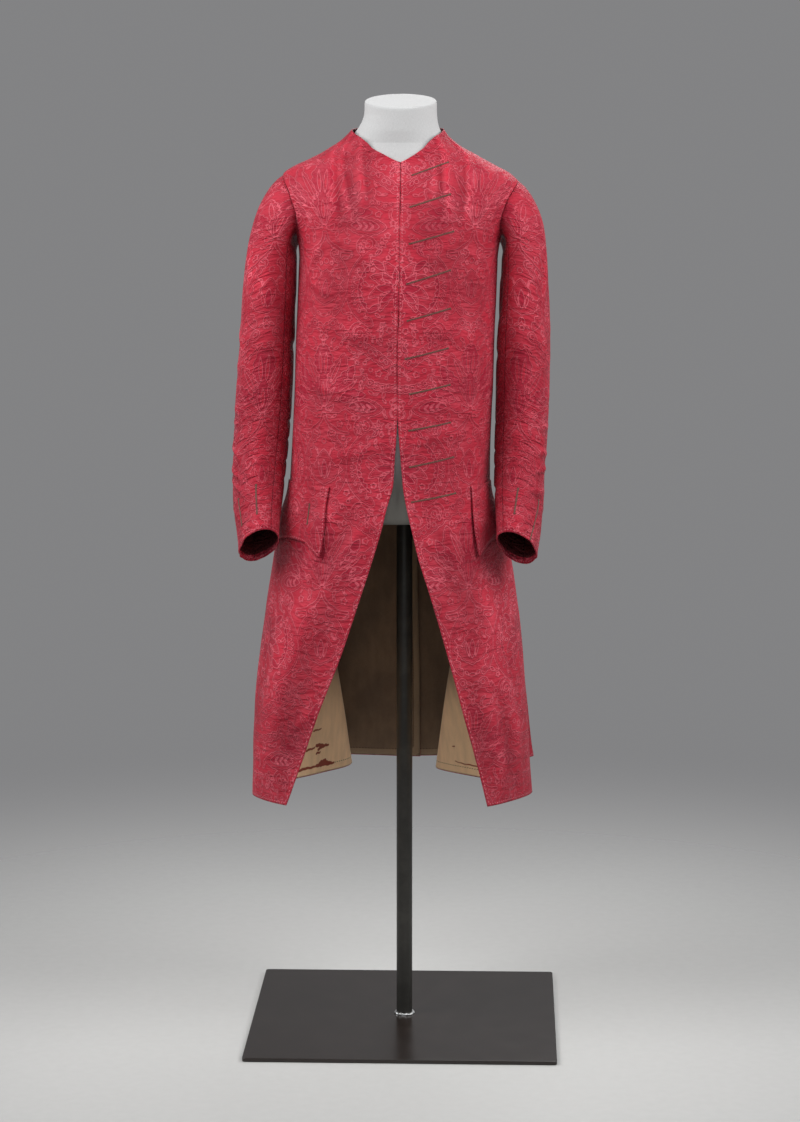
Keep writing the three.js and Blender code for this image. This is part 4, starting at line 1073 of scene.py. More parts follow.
# %% [markdown]
# ## The four body panels
#
# Each front and each back is one length of silk from shoulder to hem. The sheet follows its solid
# and adds what wear and hanging give it: soft folds listed in tables, low ripples, and
# small puckers beside the sewn edges. A crease is a trough with a ridge beside it. Sewing holds
# cloth still, so everything fades out at the seams.

# %% Creases and ripples
def soft_noise(x, y, seed):
    """Random values on a unit lattice, blended by smooth steps between its corners."""
    lattice = np.random.default_rng(seed).uniform(-1, 1, (64, 64))
    c, r = np.floor(x).astype(int), np.floor(y).astype(int)
    u, v = smooth_step(x - c), smooth_step(y - r)
    at = lambda dc, dr: lattice[(r + dr) % 64, (c + dc) % 64]
    return (at(0, 0) * (1 - u) + at(1, 0) * u) * (1 - v) + (at(0, 1) * (1 - u) + at(1, 1) * u) * v


def rippled(x, y, seed, waves):
    """A sum of soft noises. Each wave has its height and its lengths both ways in millimetres,
    and a number that is added to the seed."""
    return sum(
        height * soft_noise(x / x_length, y / y_length, seed + more)
        for height, x_length, y_length, more in waves
    )


CREASE_COLUMNS = "across z across_end z_end bow depth width"


def crease_relief(x, z, creases):
    """Height of all creases: for each, t runs along its chord and u is the distance from its
    bowed line in widths. The section is a ridge exp(-(u - 0.9)^2) less a trough exp(-(u + 0.5)^2),
    tapered as a sine of t to the power 0.7."""
    height = np.zeros(x.shape)
    for x0, z0, x1, z1, bow, depth, width in zip(*creases.values()):
        dx, dz = x1 - x0, z1 - z0
        length = math.hypot(dx, dz)
        t = ((x - x0) * dx + (z - z0) * dz) / length**2
        off = ((z - z0) * dx - (x - x0) * dz) / length - bow * 4 * t * (1 - t)
        u = off / width
        taper = np.sin(np.pi * np.clip(t, 0, 1)) ** 0.7
        height += depth * taper * (np.exp(-((u - 0.9) ** 2)) - 0.8 * np.exp(-((u + 0.5) ** 2)))
    return height


LEAST_DEPTH = 1e-3  # millimetres, so that nothing is divided by zero


def held_between(height, deepest, highest):
    """Height eased towards two limits: a limit times tanh(height / limit) on each side of zero, so
    that no ridge has a flat top with a sharp edge."""
    raised = highest * np.tanh(height / highest)
    depth = np.maximum(-deepest, LEAST_DEPTH)
    sunk = -depth * np.tanh(-height / depth)
    return np.where(height > 0, raised, sunk)


def spaced(ends, cells):
    """Column values from stretch to stretch, each parted into its own number of cells."""
    parts = [np.linspace(a, b, n, endpoint=False) for a, b, n in zip(ends[:-1], ends[1:], cells)]
    return np.concatenate([*parts, [ends[-1]]])


# %% Grids of the panels
PANEL_COLUMNS = {"front": spaced((0, 7, 11, 18), (62, 42, 44)), "back": spaced((18, 25, 32), (38, 100))}
SKIRT_ROWS, ARMHOLE_ROWS, YOKE_ROWS = 334, 56, 36


def armhole_z(side, step):
    """Height of a step of the armhole's table."""
    return ARMPIT_Z + (SHOULDER_Z[side] - ARMPIT_Z) * smooth_value(ARMHOLE, "step", step, "up")


def armhole_steps(side):
    """Steps, one for each row, that part the armhole's front edge into even lengths."""
    step = np.linspace(0, 9, 361)
    edge = torso_point(side, smooth_value(ARMHOLE, "step", step, "front"), armhole_z(side, step))
    length = np.concatenate([[0], np.cumsum(np.linalg.norm(np.diff(edge, axis=0), axis=1))])
    return np.interp(np.linspace(0, length[-1], ARMHOLE_ROWS + 1), length, step)


def panel_points(side, part):
    """Rows of a panel: level rows up to the armpit, rows that end at the armhole, then a yoke
    that rises to the neckline. Angles shrink in proportion as the armhole cuts in."""
    columns = PANEL_COLUMNS[part]
    column, z = np.meshgrid(columns, np.linspace(HEM_Z, ARMPIT_Z, SKIRT_ROWS + 1))
    lower = body_point(side, column, z)
    angle = column_angle(columns)[None, :]
    if part == "front":
        narrowed = lambda edge: angle * edge / SEAM_ANGLE
    else:
        narrowed = lambda edge: 180 - (180 - angle) * (180 - edge) / (180 - SEAM_ANGLE)
    step = armhole_steps(side)[1:, None]
    beside = narrowed(smooth_value(ARMHOLE, "step", step, part))
    middle = torso_point(side, beside, armhole_z(side, step) + 0 * beside)
    over = narrowed(90.0)
    rise = np.linspace(0, 1, YOKE_ROWS + 1)[1:, None]
    shoulder = SHOULDER_Z[side]
    yoke_z = shoulder + (smooth_value(NECKLINE, "angle", over, "z") - shoulder) * rise
    yoke = torso_point(side, over + 0 * yoke_z, yoke_z)
    return np.concatenate([lower, middle, yoke])


# %% Creases of each panel, in millimetres: across from the centre line, height, then bow, depth, width
CREASES = {
    ("front", "right"): table(
        CREASE_COLUMNS,
        (92, 1440, 68, 1262, 5, 2.9, 7), (72, 1430, 50, 1284, -4, 1.9, 6), (112, 1420, 98, 1246, -8, 2, 9),
        (30, 1180, 118, 1236, 10, 0.9, 14), (14, 1085, 150, 1120, -9, 0.8, 12),
        (40, 985, 165, 1010, 6, 0.9, 11), (16, 930, 120, 905, -7, 0.8, 9),
        (60, 855, 150, 700, 12, 1.6, 16), (95, 840, 178, 560, -14, 1.8, 20),
        (130, 700, 196, 392, 8, 2.0, 18), (176, 640, 232, 396, -8, 1.6, 16),
        (70, 760, 128, 610, 9, 1.2, 13), (34, 812, 92, 742, 5, 0.9, 7), (120, 520, 176, 470, 5, 1, 9),
        (118, 1232, 146, 1190, 4, 1, 7), (96, 1150, 160, 1178, -5, 0.9, 8),
    ),
    ("front", "left"): table(
        CREASE_COLUMNS,
        (66, 1440, 71, 1264, -5, 2.7, 7), (97, 1425, 94, 1250, 5, 2.5, 7), (48, 1430, 42, 1300, 4, 1.7, 6),
        (24, 1200, 104, 1246, -9, 0.8, 13), (18, 1100, 128, 1072, 8, 0.9, 12),
        (36, 1000, 150, 966, -6, 0.8, 12), (20, 925, 110, 940, 5, 0.8, 10),
        (58, 850, 132, 672, -10, 1.5, 15), (86, 846, 160, 520, 13, 1.7, 19),
        (120, 660, 170, 390, -9, 1.9, 17), (152, 600, 204, 394, 8, 1.5, 14),
        (98, 1224, 142, 1204, -4, 1, 7), (30, 790, 84, 760, -4, 0.9, 7), (110, 470, 170, 446, 4, 1, 8),
    ),
    ("back", "right"): table(
        CREASE_COLUMNS,
        (-60, 1360, -72, 1270, 5, 1.3, 11), (-30, 1210, -122, 1180, 8, 1.1, 14),
        (-40, 1040, -118, 1000, -8, 1.0, 13), (-24, 930, -110, 900, 6, 1.0, 12),
        (-70, 870, -110, 600, 10, 1.9, 19), (-118, 860, -180, 470, -12, 2.0, 22),
        (-46, 700, -64, 390, 7, 1.7, 17), (-150, 640, -214, 388, 8, 1.6, 17),
    ),
    ("back", "left"): table(
        CREASE_COLUMNS,
        (-70, 1364, -84, 1262, -6, 1.4, 10), (-34, 1190, -118, 1214, -8, 1.1, 13),
        (-30, 1070, -112, 1020, 9, 1.0, 14), (-36, 950, -116, 920, -5, 0.9, 12),
        (-62, 862, -92, 560, -10, 1.9, 18), (-104, 850, -160, 500, 12, 1.8, 20),
        (-52, 640, -78, 388, -8, 1.7, 16), (-138, 600, -196, 386, -7, 1.7, 18),
    ),
}
CREASE_GAIN = {"front": 2.1, "back": 2.8}
# Limits of the relief in millimetres, which keep the silk clear of what lies beside it
DEEPEST, DEEPEST_IN_SKIRT, HIGHEST, BESIDE_ARM = 3.2, 2.0, 6.0, 0.5
FORM_CLEARANCE = 0.6  # millimetres kept between the silk and the form
SIDE_SEAM_FADE, CENTRE_BACK_FADE = 2.0, 1.2  # columns over which the relief dies out at a seam
NEAR_ARM_COLUMNS = {"front": (9, 12), "back": (24, 21)}  # from where the sleeve comes near to beside it
NEAR_ARM_Z, NEAR_ARM_RISE = 840, 40
# Ripples as height, length across and length along in millimetres, and a step of the seed
PANEL_RIPPLES = ((1.5, 46, 150, 0), (0.55, 19, 36, 1))
PUCKERS, PUCKER_REACH = ((0.28, 7, 30, 2),), 9  # their lengths run along the edge, then across
HEM_WAVES, HEM_REACH = ((1.1, 36, 400, 3),), 60


def panel_relief(side, part, points, cloth):
    """Creases, ripples and edge puckers of a panel, faded out at its sewn edges."""
    across, z = cloth[..., 0], points[..., 2]
    seed = 10 * (side == "left") + 5 * (part == "back")
    free_edge = np.abs(across - across[:, :1]) if part == "front" else np.full(across.shape, FREE)
    height = CREASE_GAIN[part] * crease_relief(across, z, CREASES[part, side])
    height = height + rippled(across, z, seed, PANEL_RIPPLES)
    height = height + np.exp(-free_edge / PUCKER_REACH) * rippled(z, across, seed, PUCKERS)
    height = height + np.exp(-(z - HEM_Z) / HEM_REACH) * rippled(across, z, seed, HEM_WAVES)
    columns = PANEL_COLUMNS[part]
    sewn = smooth_step(np.abs(columns - SEAM_COLUMN) / SIDE_SEAM_FADE)
    if part == "back":
        sewn = sewn * smooth_step((LAST_COLUMN - columns) / CENTRE_BACK_FADE)
    room = smooth_value(FORM_INSET, "z", z, "inset") - SILK_WALL - FORM_CLEARANCE
    deepest = -np.clip(room, 0, np.where(z > HIP_Z, DEEPEST, DEEPEST_IN_SKIRT))
    near, beside = NEAR_ARM_COLUMNS[part]
    near_arm = smooth_step((columns - near) / (beside - near))
    near_arm = near_arm[None, :] * smooth_step((z - NEAR_ARM_Z) / NEAR_ARM_RISE)
    highest = HIGHEST + (BESIDE_ARM - HIGHEST) * near_arm
    return held_between(height, deepest, highest) * sewn[None, :]


CREASE_LIGHT_HEIGHT = 2.5  # millimetres above the mean where a ridge is painted fully lit


def painted_crease_light(relief):
    """Painted light and shade on the folds: from -1 in a trough, painted darker, to 1 on a ridge,
    painted paler: the height less its mean, over 2.5 mm, held between -1 and 1."""
    return np.clip((relief - relief.mean()) / CREASE_LIGHT_HEIGHT, -1, 1)


# %% [markdown]
# ## Shaping and weaving each panel
#
# A tailor would cut four lengths of silk, press the pleats and sew the side seams and the centre
# back. A cloth simulation could drape them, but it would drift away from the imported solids. So
# each grid starts on its solid and is only raised and sunk along its normals.
# Lengths measured along the grid before that become cloth coordinates, which carry the damask.

# %% Build the panels
WAIST_SEAM_Z, WAIST_SEAM_START = 866, 70  # the front's cross seam starts 70 mm from its edge
WEAVING_DRIFT = ((2.0, 90, 120, 40),)  # hand weaving shifts a figure by up to 2 mm
PANEL_CRUMPLED, SKIRT_CRUMPLED, SKIRT_CRUMPLED_FADE = 0.5, 0.12, 200
panels = {}
for side in SIGN:
    for part in ("front", "back"):
        points = panel_points(side, part)
        outward_at = np.array([0, 0, points[SKIRT_ROWS * 3 // 5, 0, 2]])
        normals = grid_normals(points, outward_at)
        if part == "front":
            start = np.abs(points[:, 0, 0] - smooth_value(TORSO, "z", points[:, 0, 2], "mid"))
        else:
            start = -np.linalg.norm(np.diff(points, axis=1), axis=-1).sum(1)
        cloth = cloth_coordinates(points, start)
        relief = panel_relief(side, part, points, cloth)
        points = points + relief[..., None] * normals
        normals = grid_normals(points, outward_at)
        drift = rippled(cloth[..., 0], cloth[..., 1], 0, WEAVING_DRIFT)
        fields = woven_fields(cloth[..., 0] + drift, cloth[..., 1] + drift[::-1])
        edge = cloth[..., 0] - cloth[:, :1, 0] if part == "front" else -cloth[..., 0]
        sewn_at = cloth[:, -1:, 0] if part == "front" else cloth[:, :1, 0]
        side_seam = np.abs(cloth[..., 0] - sewn_at)
        other_seam = edge  # on a back this is the centre back seam, on a front the cross seam
        if part == "front":
            other_seam = np.where(edge > WAIST_SEAM_START, np.abs(points[..., 2] - WAIST_SEAM_Z), FREE)
        fields["seam_mm"] = np.minimum(side_seam, other_seam)
        from_hem = points[..., 2] - HEM_Z
        fields["edge_mm"] = np.minimum(edge, from_hem) if part == "front" else from_hem
        in_skirt = smooth_step((HIP_Z - points[..., 2]) / SKIRT_CRUMPLED_FADE)
        fields["crumpled"] = PANEL_CRUMPLED + SKIRT_CRUMPLED * in_skirt
        # Painted light and shade on the folds: ridges paler, troughs darker.
        fields["rubbed"] = painted_crease_light(relief)
        name = f"damask_{part}_{side}"
        made = closed_sheet(name, points, normals, SILK_WALL, silk, cloth, fields)
        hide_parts(f"{part}_{side}")
        panels[part, side] = {"points": points, "normals": normals, "cloth": cloth, "object": made}
        print(name, points.shape, round(report_area(points), 3), "m2", len(made.data.polygons), "faces")


def grid_at(grid, row, column):
    """A grid's value at fractional rows and columns: its four nearest points, by nearness."""
    row = np.clip(row, 0, grid.shape[0] - 1.001)
    column = np.clip(column, 0, grid.shape[1] - 1.001)
    r, c = row.astype(int), column.astype(int)
    shape = r.shape + (1,) * (grid.ndim - 2)
    v, u = (row - r).reshape(shape), (column - c).reshape(shape)
    low = grid[r, c] * (1 - u) + grid[r, c + 1] * u
    return low * (1 - v) + (grid[r + 1, c] * (1 - u) + grid[r + 1, c + 1] * u) * v


def on_panel(side, part, column, z, key="points"):
    """A panel's point, normal or cloth place at any column and height below the armpit."""
    columns = PANEL_COLUMNS[part]
    place = np.interp(column, columns, np.arange(len(columns)))
    return grid_at(panels[part, side][key], (z - HEM_Z) / (ARMPIT_Z - HEM_Z) * SKIRT_ROWS, place)


def flat_cross(first, second):
    """The cross product of flat vectors: x of the first times y of the second, less the swap."""
    return first[:, 0] * second[:, 1] - first[:, 1] * second[:, 0]


NEWTON_STEPS, LONGEST_STEP, LEAST_CROSS = 6, 6, 1e-6  # the longest step is in grid cells


def locate(sheet, across, z):
    """Row and column of a sheet where its cloth has a given length across and height: the
    nearest of every fourth grid point, then Newton steps with the grid's own slopes."""
    wanted = np.stack([across, z], axis=-1)
    known = np.stack([sheet["cloth"][..., 0], sheet["points"][..., 2]], axis=-1)
    coarse = known[::4, ::4]
    apart = np.sum((coarse[None] - wanted[:, None, None]) ** 2, axis=-1)
    nearest = apart.reshape(len(wanted), -1).argmin(1)
    row, column = (4.0 * part for part in np.unravel_index(nearest, coarse.shape[:2]))
    by_row, by_column = np.gradient(known, axis=0), np.gradient(known, axis=1)
    for _ in range(NEWTON_STEPS):
        miss = wanted - grid_at(known, row, column)
        down, along = grid_at(by_row, row, column), grid_at(by_column, row, column)
        cross = flat_cross(along, down)
        cross = np.where(np.abs(cross) < LEAST_CROSS, LEAST_CROSS, cross)
        column_step = np.clip(flat_cross(miss, down) / cross, -LONGEST_STEP, LONGEST_STEP)
        row_step = np.clip(flat_cross(along, miss) / cross, -LONGEST_STEP, LONGEST_STEP)
        column = np.clip(column + column_step, 0, known.shape[1] - 1)
        row = np.clip(row + row_step, 0, known.shape[0] - 1)
    return row, column


# %% [markdown]
# ## Skirt lining
#
# The skirts are lined with a brown plain-woven cloth, sewn in a little short of the silk's edges.
# It hangs just inside the silk, so its grid is taken from the panel's own grid and moved in. Its
# fine side faces inwards, because that is the side that shows.

# %% Build the linings
LINING_DEPTH = 2.1  # millimetres from the silk's outer side to the lining's side that faces it
LINING_COLUMNS = {
    "front": spaced((0.3, 14, 15.5, 17.97), (42, 48, 10)), "back": spaced((18.03, 25, 31.995), (28, 60)),
}
LINING_HEM, SPLIT_TOP_Z = 1.4, 462  # the lining ends 1.4 mm above the silk; splits lie below 462
# Millimetres from the middle where the lining is painted lit, and the height where that ends
LIT_FROM = {("front", "right"): 64, ("front", "left"): 32, ("back", "right"): 128, ("back", "left"): 120}
LIT_BELOW, LIT_FADE, LIT_FADE_ACROSS = 590, 110, 16
LINING_ROWS = {"front": (46, 54), "back": (14, 70)}  # below and above SPLIT_TOP_Z
SPLIT_COLUMNS = "column z column_end z_end half_width"
SPLITS = {
    "right": table(
        SPLIT_COLUMNS,
        (14.42, 426, 14.7, 428, 1.4), (14.76, 431, 15.18, 427, 2.4), (14.8, 424, 15.1, 429, 1.8),
        (14.7, 399, 15.3, 396.5, 2.4), (14.82, 400, 15, 404, 4.2), (14.95, 402, 15.2, 398, 2.8),
        (14.15, 397, 14.72, 398.5, 1.8), (14.7, 455, 14.98, 456, 1), (14.72, 418, 14.86, 419, 1.3),
    ),
    "left": table(SPLIT_COLUMNS, (14.3, 401, 15.3, 404, 0.7), (15.4, 428, 15.5, 427, 0.9)),
}


def split_distance(side, column, level, points):
    """Millimetres from the edge of the nearest split: the distance to each bent line less its
    half width, which shrinks to half along the line. Lengths are taken on the lining itself."""
    by_column = np.linalg.norm(np.gradient(points, axis=1), axis=-1) / np.gradient(column, axis=1)
    best = np.full(column.shape, FREE)
    for c0, z0, c1, z1, half_width in zip(*SPLITS[side].values()):
        dx, dz = (column - c0) * by_column, level - z0
        ex, ez = (c1 - c0) * by_column, z1 - z0
        t = np.clip((dx * ex + dz * ez) / (ex**2 + ez**2), 0, 1)
        ragged = 0.5 * np.sin(9 * t + c0) + 0.4 * np.sin(23 * t)
        apart = np.hypot(dx - t * ex, dz - t * ez + ragged)
        best = np.minimum(best, apart - half_width * (1 - t**2 * 0.5))
    return best


for side in SIGN:
    for part in ("front", "back"):
        panel = panels[part, side]
        levels = spaced((HEM_Z + LINING_HEM, SPLIT_TOP_Z, LINING_TOP_Z), LINING_ROWS[part])
        column, level = np.meshgrid(LINING_COLUMNS[part], levels)
        normals = unit(on_panel(side, part, column, level, "normals"))
        inner = on_panel(side, part, column, level) - (LINING_DEPTH + LINING_WALL) * normals
        cloth = on_panel(side, part, column, level, "cloth")
        free = cloth[..., 0] - cloth[:, :1, 0] if part == "front" else cloth[:, -1:, 0] - cloth[..., 0]
        split = np.full(column.shape, FREE)
        if part == "front":
            split = split_distance(side, column, level, inner)
        from_middle = np.abs(inner[..., 0]) - LIT_FROM[part, side]
        in_light = smooth_step(from_middle / LIT_FADE_ACROSS) * smooth_step((LIT_BELOW - level) / LIT_FADE)
        from_edge = np.minimum(level - HEM_Z - LINING_HEM, free)
        fields = {"edge_mm": from_edge, "split_mm": split, "in_light": in_light}
        name = f"linen_{part}_{side}"
        made = closed_sheet(name, inner, -normals, LINING_WALL, lining_cloth, cloth, fields)
        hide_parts(f"lining_{part}_{side}")
        panel["lining"], panel["lining_sheet"] = made, {"points": inner, "cloth": cloth}
        print(made.name, inner.shape, round(report_area(inner), 3), "m2")

# %% [markdown]
# ## Pocket flaps
#
# A scalloped flap lies over each pocket slit. It is a separate stiffened piece sewn along its top
# edge, so it stands a few millimetres off the skirt at its lower edge. Its grid is laid on the
# front's own surface and lifted, which lets it follow the skirt without touching it.

# %% Build the flaps
FLAP = {"right": (4.75, 5.15, 10.8), "left": (6.8, 7.3, 10.8)}
FLAP_LOW_Z, FLAP_ARCH = 757, 24
FLAP_CELLS = (56, 44)  # across and down
# Millimetres: clear of the silk at the top, more at the lower edge, the front point and a ripple
FLAP_CLEAR, FLAP_STANDS_OFF, FLAP_POINT, FLAP_RIPPLE = 0.8, 2.6, 2.2, 0.5
FLAP_DROP = 100  # millimetres from the flap's top seam to its points, roughly
FLAP_CRUMPLED = 0.6
flaps = {}
for side, (top_front, low_front, back) in FLAP.items():
    share, drop = np.meshgrid(*(np.linspace(0, 1, cells + 1) for cells in FLAP_CELLS))
    front = top_front + (low_front - top_front) * drop
    column = front + (back - front) * share
    z = WAIST_SEAM_Z + (FLAP_LOW_Z + FLAP_ARCH * np.sin(np.pi * share) - WAIST_SEAM_Z) * drop
    normals = unit(on_panel(side, "front", column, z, "normals"))
    bellied = FLAP_RIPPLE * soft_noise(share * 3 + 7, drop * 2, 70) * drop
    corner = FLAP_POINT * drop**2 * np.exp(-((share / 0.25) ** 2))
    lift = FLAP_CLEAR + FLAP_WALL + FLAP_STANDS_OFF * np.sqrt(drop) + bellied + corner
    outer = on_panel(side, "front", column, z) + lift[..., None] * normals
    cloth = on_panel(side, "front", column, z, "cloth")
    fields = woven_fields(cloth[..., 0], cloth[..., 1])
    width = np.linalg.norm(np.diff(outer, axis=1), axis=-1).sum(1)[:, None]
    from_ends = np.minimum(share, 1 - share) * width
    fields["edge_mm"] = np.minimum(from_ends, (1 - drop) * FLAP_DROP)
    fields["seam_mm"] = np.full(share.shape, FREE)
    fields["crumpled"] = np.full(share.shape, FLAP_CRUMPLED)
    fields["rubbed"] = np.zeros(share.shape)
    normals = grid_normals(outer, outer.mean((0, 1)) * [0, 0, 1])
    made = closed_sheet(f"damask_flap_{side}", outer, normals, FLAP_WALL, silk, cloth, fields)
    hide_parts(f"pocket_flap_{side}")
    flaps[side] = {"points": outer, "normals": normals, "cloth": cloth, "object": made}
    print(made.name, outer.shape, round(report_area(outer), 4), "m2")

# %% [markdown]
# ## Sleeves
#
# Each sleeve has an upper and an under piece and is cut in a curve, so the forearm swings
# forward. Its head is eased into the armhole. It hangs empty, and the cloth breaks into short
# creases across the bend of the arm.

# %% Sleeve sections and the armhole ring
SLEEVE_COLUMNS = "z x y wide deep tilt roll"
SLEEVE = {
    "right": table(
        SLEEVE_COLUMNS,
        (772, -221, -78, 30, 43, 39, 22), (802, -224.5, -56, 34, 44, 34, 14),
        (838, -227, -31, 39, 46, 29, 6), (880, -226, -12, 41.5, 48, 24, 2),
        (926, -223.5, 3, 43, 50, 18, 0), (982, -220, 12, 43.6, 53, 10, 0),
        (1038, -216.7, 14, 43.3, 54, 3, 0), (1094, -213.3, 12, 42.5, 55, 0, 0),
        (1150, -209.8, 9, 41.3, 55, 0, 0), (1205, -206, 6, 39, 53, 0, 0),
    ),
    "left": table(
        SLEEVE_COLUMNS,
        (770, 175, -79, 31.5, 43, 39, 22), (802, 177, -56, 35, 44, 34, 14),
        (838, 178, -31, 38, 46, 29, 6), (880, 179.3, -12, 39.8, 48, 24, 2),
        (926, 181, 3, 41, 50, 18, 0), (982, 182.3, 12, 41, 53, 10, 0),
        (1038, 183, 14, 41.2, 54, 3, 0), (1094, 183.8, 12, 40.4, 55, 0, 0),
        (1150, 185, 9, 38.5, 55, 0, 0), (1205, 184.2, 6, 36.2, 53, 0, 0),
    ),
}
SLEEVE_TOP_Z = 1205
RING_STEPS, ARMPIT_STEP, ARMPIT_ANGLE = 18, 9, 200
SLEEVE_PIECES = {"upper": (14, 24, 84), "under": (6, 14, 66)}
HEAD_ROWS, ARM_ROWS = 44, 198
SLEEVE_DEEPEST = -4.5  # millimetres; the sleeve is empty, so its creases may be deep
SLEEVE_SEAT, SLEEVE_INSET = 1.0, 0.5  # millimetres below the body's surface, and in from the edge
SMALL_TURN, SMALL_RISE = 0.4, 0.8  # degrees and millimetres, for slopes by small steps


def sleeve_point(side, degrees, z):
    """An oval section, outwards by the cosine and forwards by the sine of the angle, tilted
    forwards and rolled inwards as the forearm swings."""
    value = lambda name: smooth_value(SLEEVE[side], "z", z, name)
    outwards = np.cos(np.radians(degrees)) * value("wide")
    forward = np.sin(np.radians(degrees)) * value("deep")
    tilt, roll = np.radians(value("tilt")), np.radians(value("roll"))
    return np.stack([
        value("x") + SIGN[side] * outwards,
        value("y") - forward * np.cos(tilt),
        z + forward * np.sin(tilt) - outwards * np.sin(roll),
    ], axis=-1)


def torso_normal(side, degrees, z):
    """Outward normal of the torso from small steps in angle and height."""
    around = torso_point(side, degrees + SMALL_TURN, z) - torso_point(side, degrees - SMALL_TURN, z)
    rising = torso_point(side, degrees, z + SMALL_RISE) - torso_point(side, degrees, z - SMALL_RISE)
    return SIGN[side] * unit(np.cross(around, rising))


def armhole_ring(side, place):
    """The sleeve's sewing line in the armhole and the way the sleeve leaves it: the body's
    level normal, sinking more the higher the place."""
    place = place % RING_STEPS
    step = np.abs(ARMPIT_STEP - place)
    z = armhole_z(side, step)
    ahead, behind = (smooth_value(ARMHOLE, "step", step, part) for part in ("front", "back"))
    edge = np.where(place <= ARMPIT_STEP, ahead, behind)
    point, normal = torso_point(side, edge, z), torso_normal(side, edge, z)
    inwards = point.reshape(-1, 3).mean(0) - point
    inwards = unit(inwards - np.sum(inwards * normal, axis=-1, keepdims=True) * normal)
    up = smooth_value(ARMHOLE, "step", step, "up")
    drop = smooth_step(up / 0.2) * (1 - 0.4 * up)
    level = unit(normal * [1, 1, 0])
    way = unit(np.stack([level[..., 0], level[..., 1], -drop], axis=-1))
    return point + SLEEVE_INSET * inwards - SLEEVE_SEAT * normal, way


def sleeve_grid(side, piece):
    """Rows from the armhole to the cuff: a cubic from the ring to the first section, then the
    sections themselves."""
    first, last, cells = SLEEVE_PIECES[piece]
    whole = np.linspace(0, RING_STEPS, 181)[:-1]
    place = np.linspace(first, last, cells + 1)
    ring, way = armhole_ring(side, np.concatenate([place, whole]))
    ring, way = ring[: len(place)], way[: len(place)]
    turn = place % RING_STEPS
    degrees = np.where(
        turn <= ARMPIT_STEP, ARMPIT_ANGLE * turn / ARMPIT_STEP,
        ARMPIT_ANGLE + (360 - ARMPIT_ANGLE) * (turn - ARMPIT_STEP) / ARMPIT_STEP,
    )
    end = sleeve_point(side, degrees, SLEEVE_TOP_Z + 0 * degrees)
    end_way = unit(sleeve_point(side, degrees, SLEEVE_TOP_Z - 1 + 0 * degrees) - end)
    pull = np.linalg.norm(end - ring, axis=-1, keepdims=True)
    t = np.linspace(0, 1, HEAD_ROWS + 1)[:, None, None]
    head = (
        (2 * t**3 - 3 * t**2 + 1) * ring + (t**3 - 2 * t**2 + t) * pull * way
        + (3 * t**2 - 2 * t**3) * end + (t**3 - t**2) * pull * end_way
    )
    degrees, z = np.meshgrid(degrees, np.linspace(SLEEVE_TOP_Z, SLEEVE[side]["z"][0], ARM_ROWS + 1)[1:])
    return np.concatenate([head, sleeve_point(side, degrees, z)]), place


# %% Creases of each sleeve piece: across from the arm's outer line, forwards positive
SLEEVE_CREASES = {
    ("upper", "right"): table(
        CREASE_COLUMNS,
        (-34, 918, 40, 896, 5, 1.7, 6), (-20, 896, 46, 868, -4, 1.5, 5), (-40, 940, 30, 946, 6, 1.2, 6),
        (-8, 868, 50, 842, 4, 1.2, 5), (-50, 985, 34, 968, -6, 1.0, 7), (-44, 1100, 26, 1068, 8, 1.1, 10),
        (10, 1240, 34, 1150, 6, 1.3, 9), (-24, 1236, -40, 1140, -6, 1.2, 10),
        (-30, 1030, 40, 1044, -7, 0.8, 9), (-30, 826, 30, 806, 4, 0.9, 5),
    ),
    ("upper", "left"): table(
        CREASE_COLUMNS,
        (-36, 896, 38, 912, -5, 1.7, 6), (-26, 872, 44, 880, 4, 1.6, 5), (-44, 930, 36, 944, 5, 1.3, 6),
        (-14, 846, 48, 856, -4, 1.2, 5), (-46, 974, 30, 990, 6, 1.0, 7), (-40, 1084, 30, 1110, -8, 1.1, 10),
        (14, 1236, 30, 1140, -6, 1.3, 9), (-26, 1238, -36, 1150, 6, 1.1, 10),
        (-30, 1050, 36, 1030, 6, 0.8, 9), (-26, 812, 34, 822, 4, 0.9, 5),
    ),
    ("under", "right"): table(
        CREASE_COLUMNS,
        (20, 920, 96, 944, 6, 1.6, 7), (16, 892, 90, 922, -5, 1.5, 6), (24, 864, 84, 884, 4, 1.2, 6),
        (20, 960, 100, 972, -6, 1.2, 8), (18, 1080, 96, 1060, 7, 0.9, 10), (30, 1180, 70, 1100, 6, 0.9, 10),
    ),
    ("under", "left"): table(
        CREASE_COLUMNS,
        (18, 912, 92, 940, -6, 1.6, 7), (20, 884, 94, 906, 5, 1.5, 6), (22, 858, 80, 868, -4, 1.2, 6),
        (24, 952, 98, 976, 6, 1.2, 8), (20, 1066, 94, 1084, -7, 0.9, 10), (36, 1176, 66, 1096, -6, 0.9, 10),
    ),
}

# %% [markdown]
# ## Shaping the sleeves
#
# An empty sleeve collapses a little and breaks into many short folds at the elbow. They are far
# deeper than on the body, since no form holds the cloth out. The folds are strongest at the front
# and back of the arm, finer crinkles lie below the elbow, and the cuff's turned edge waves.

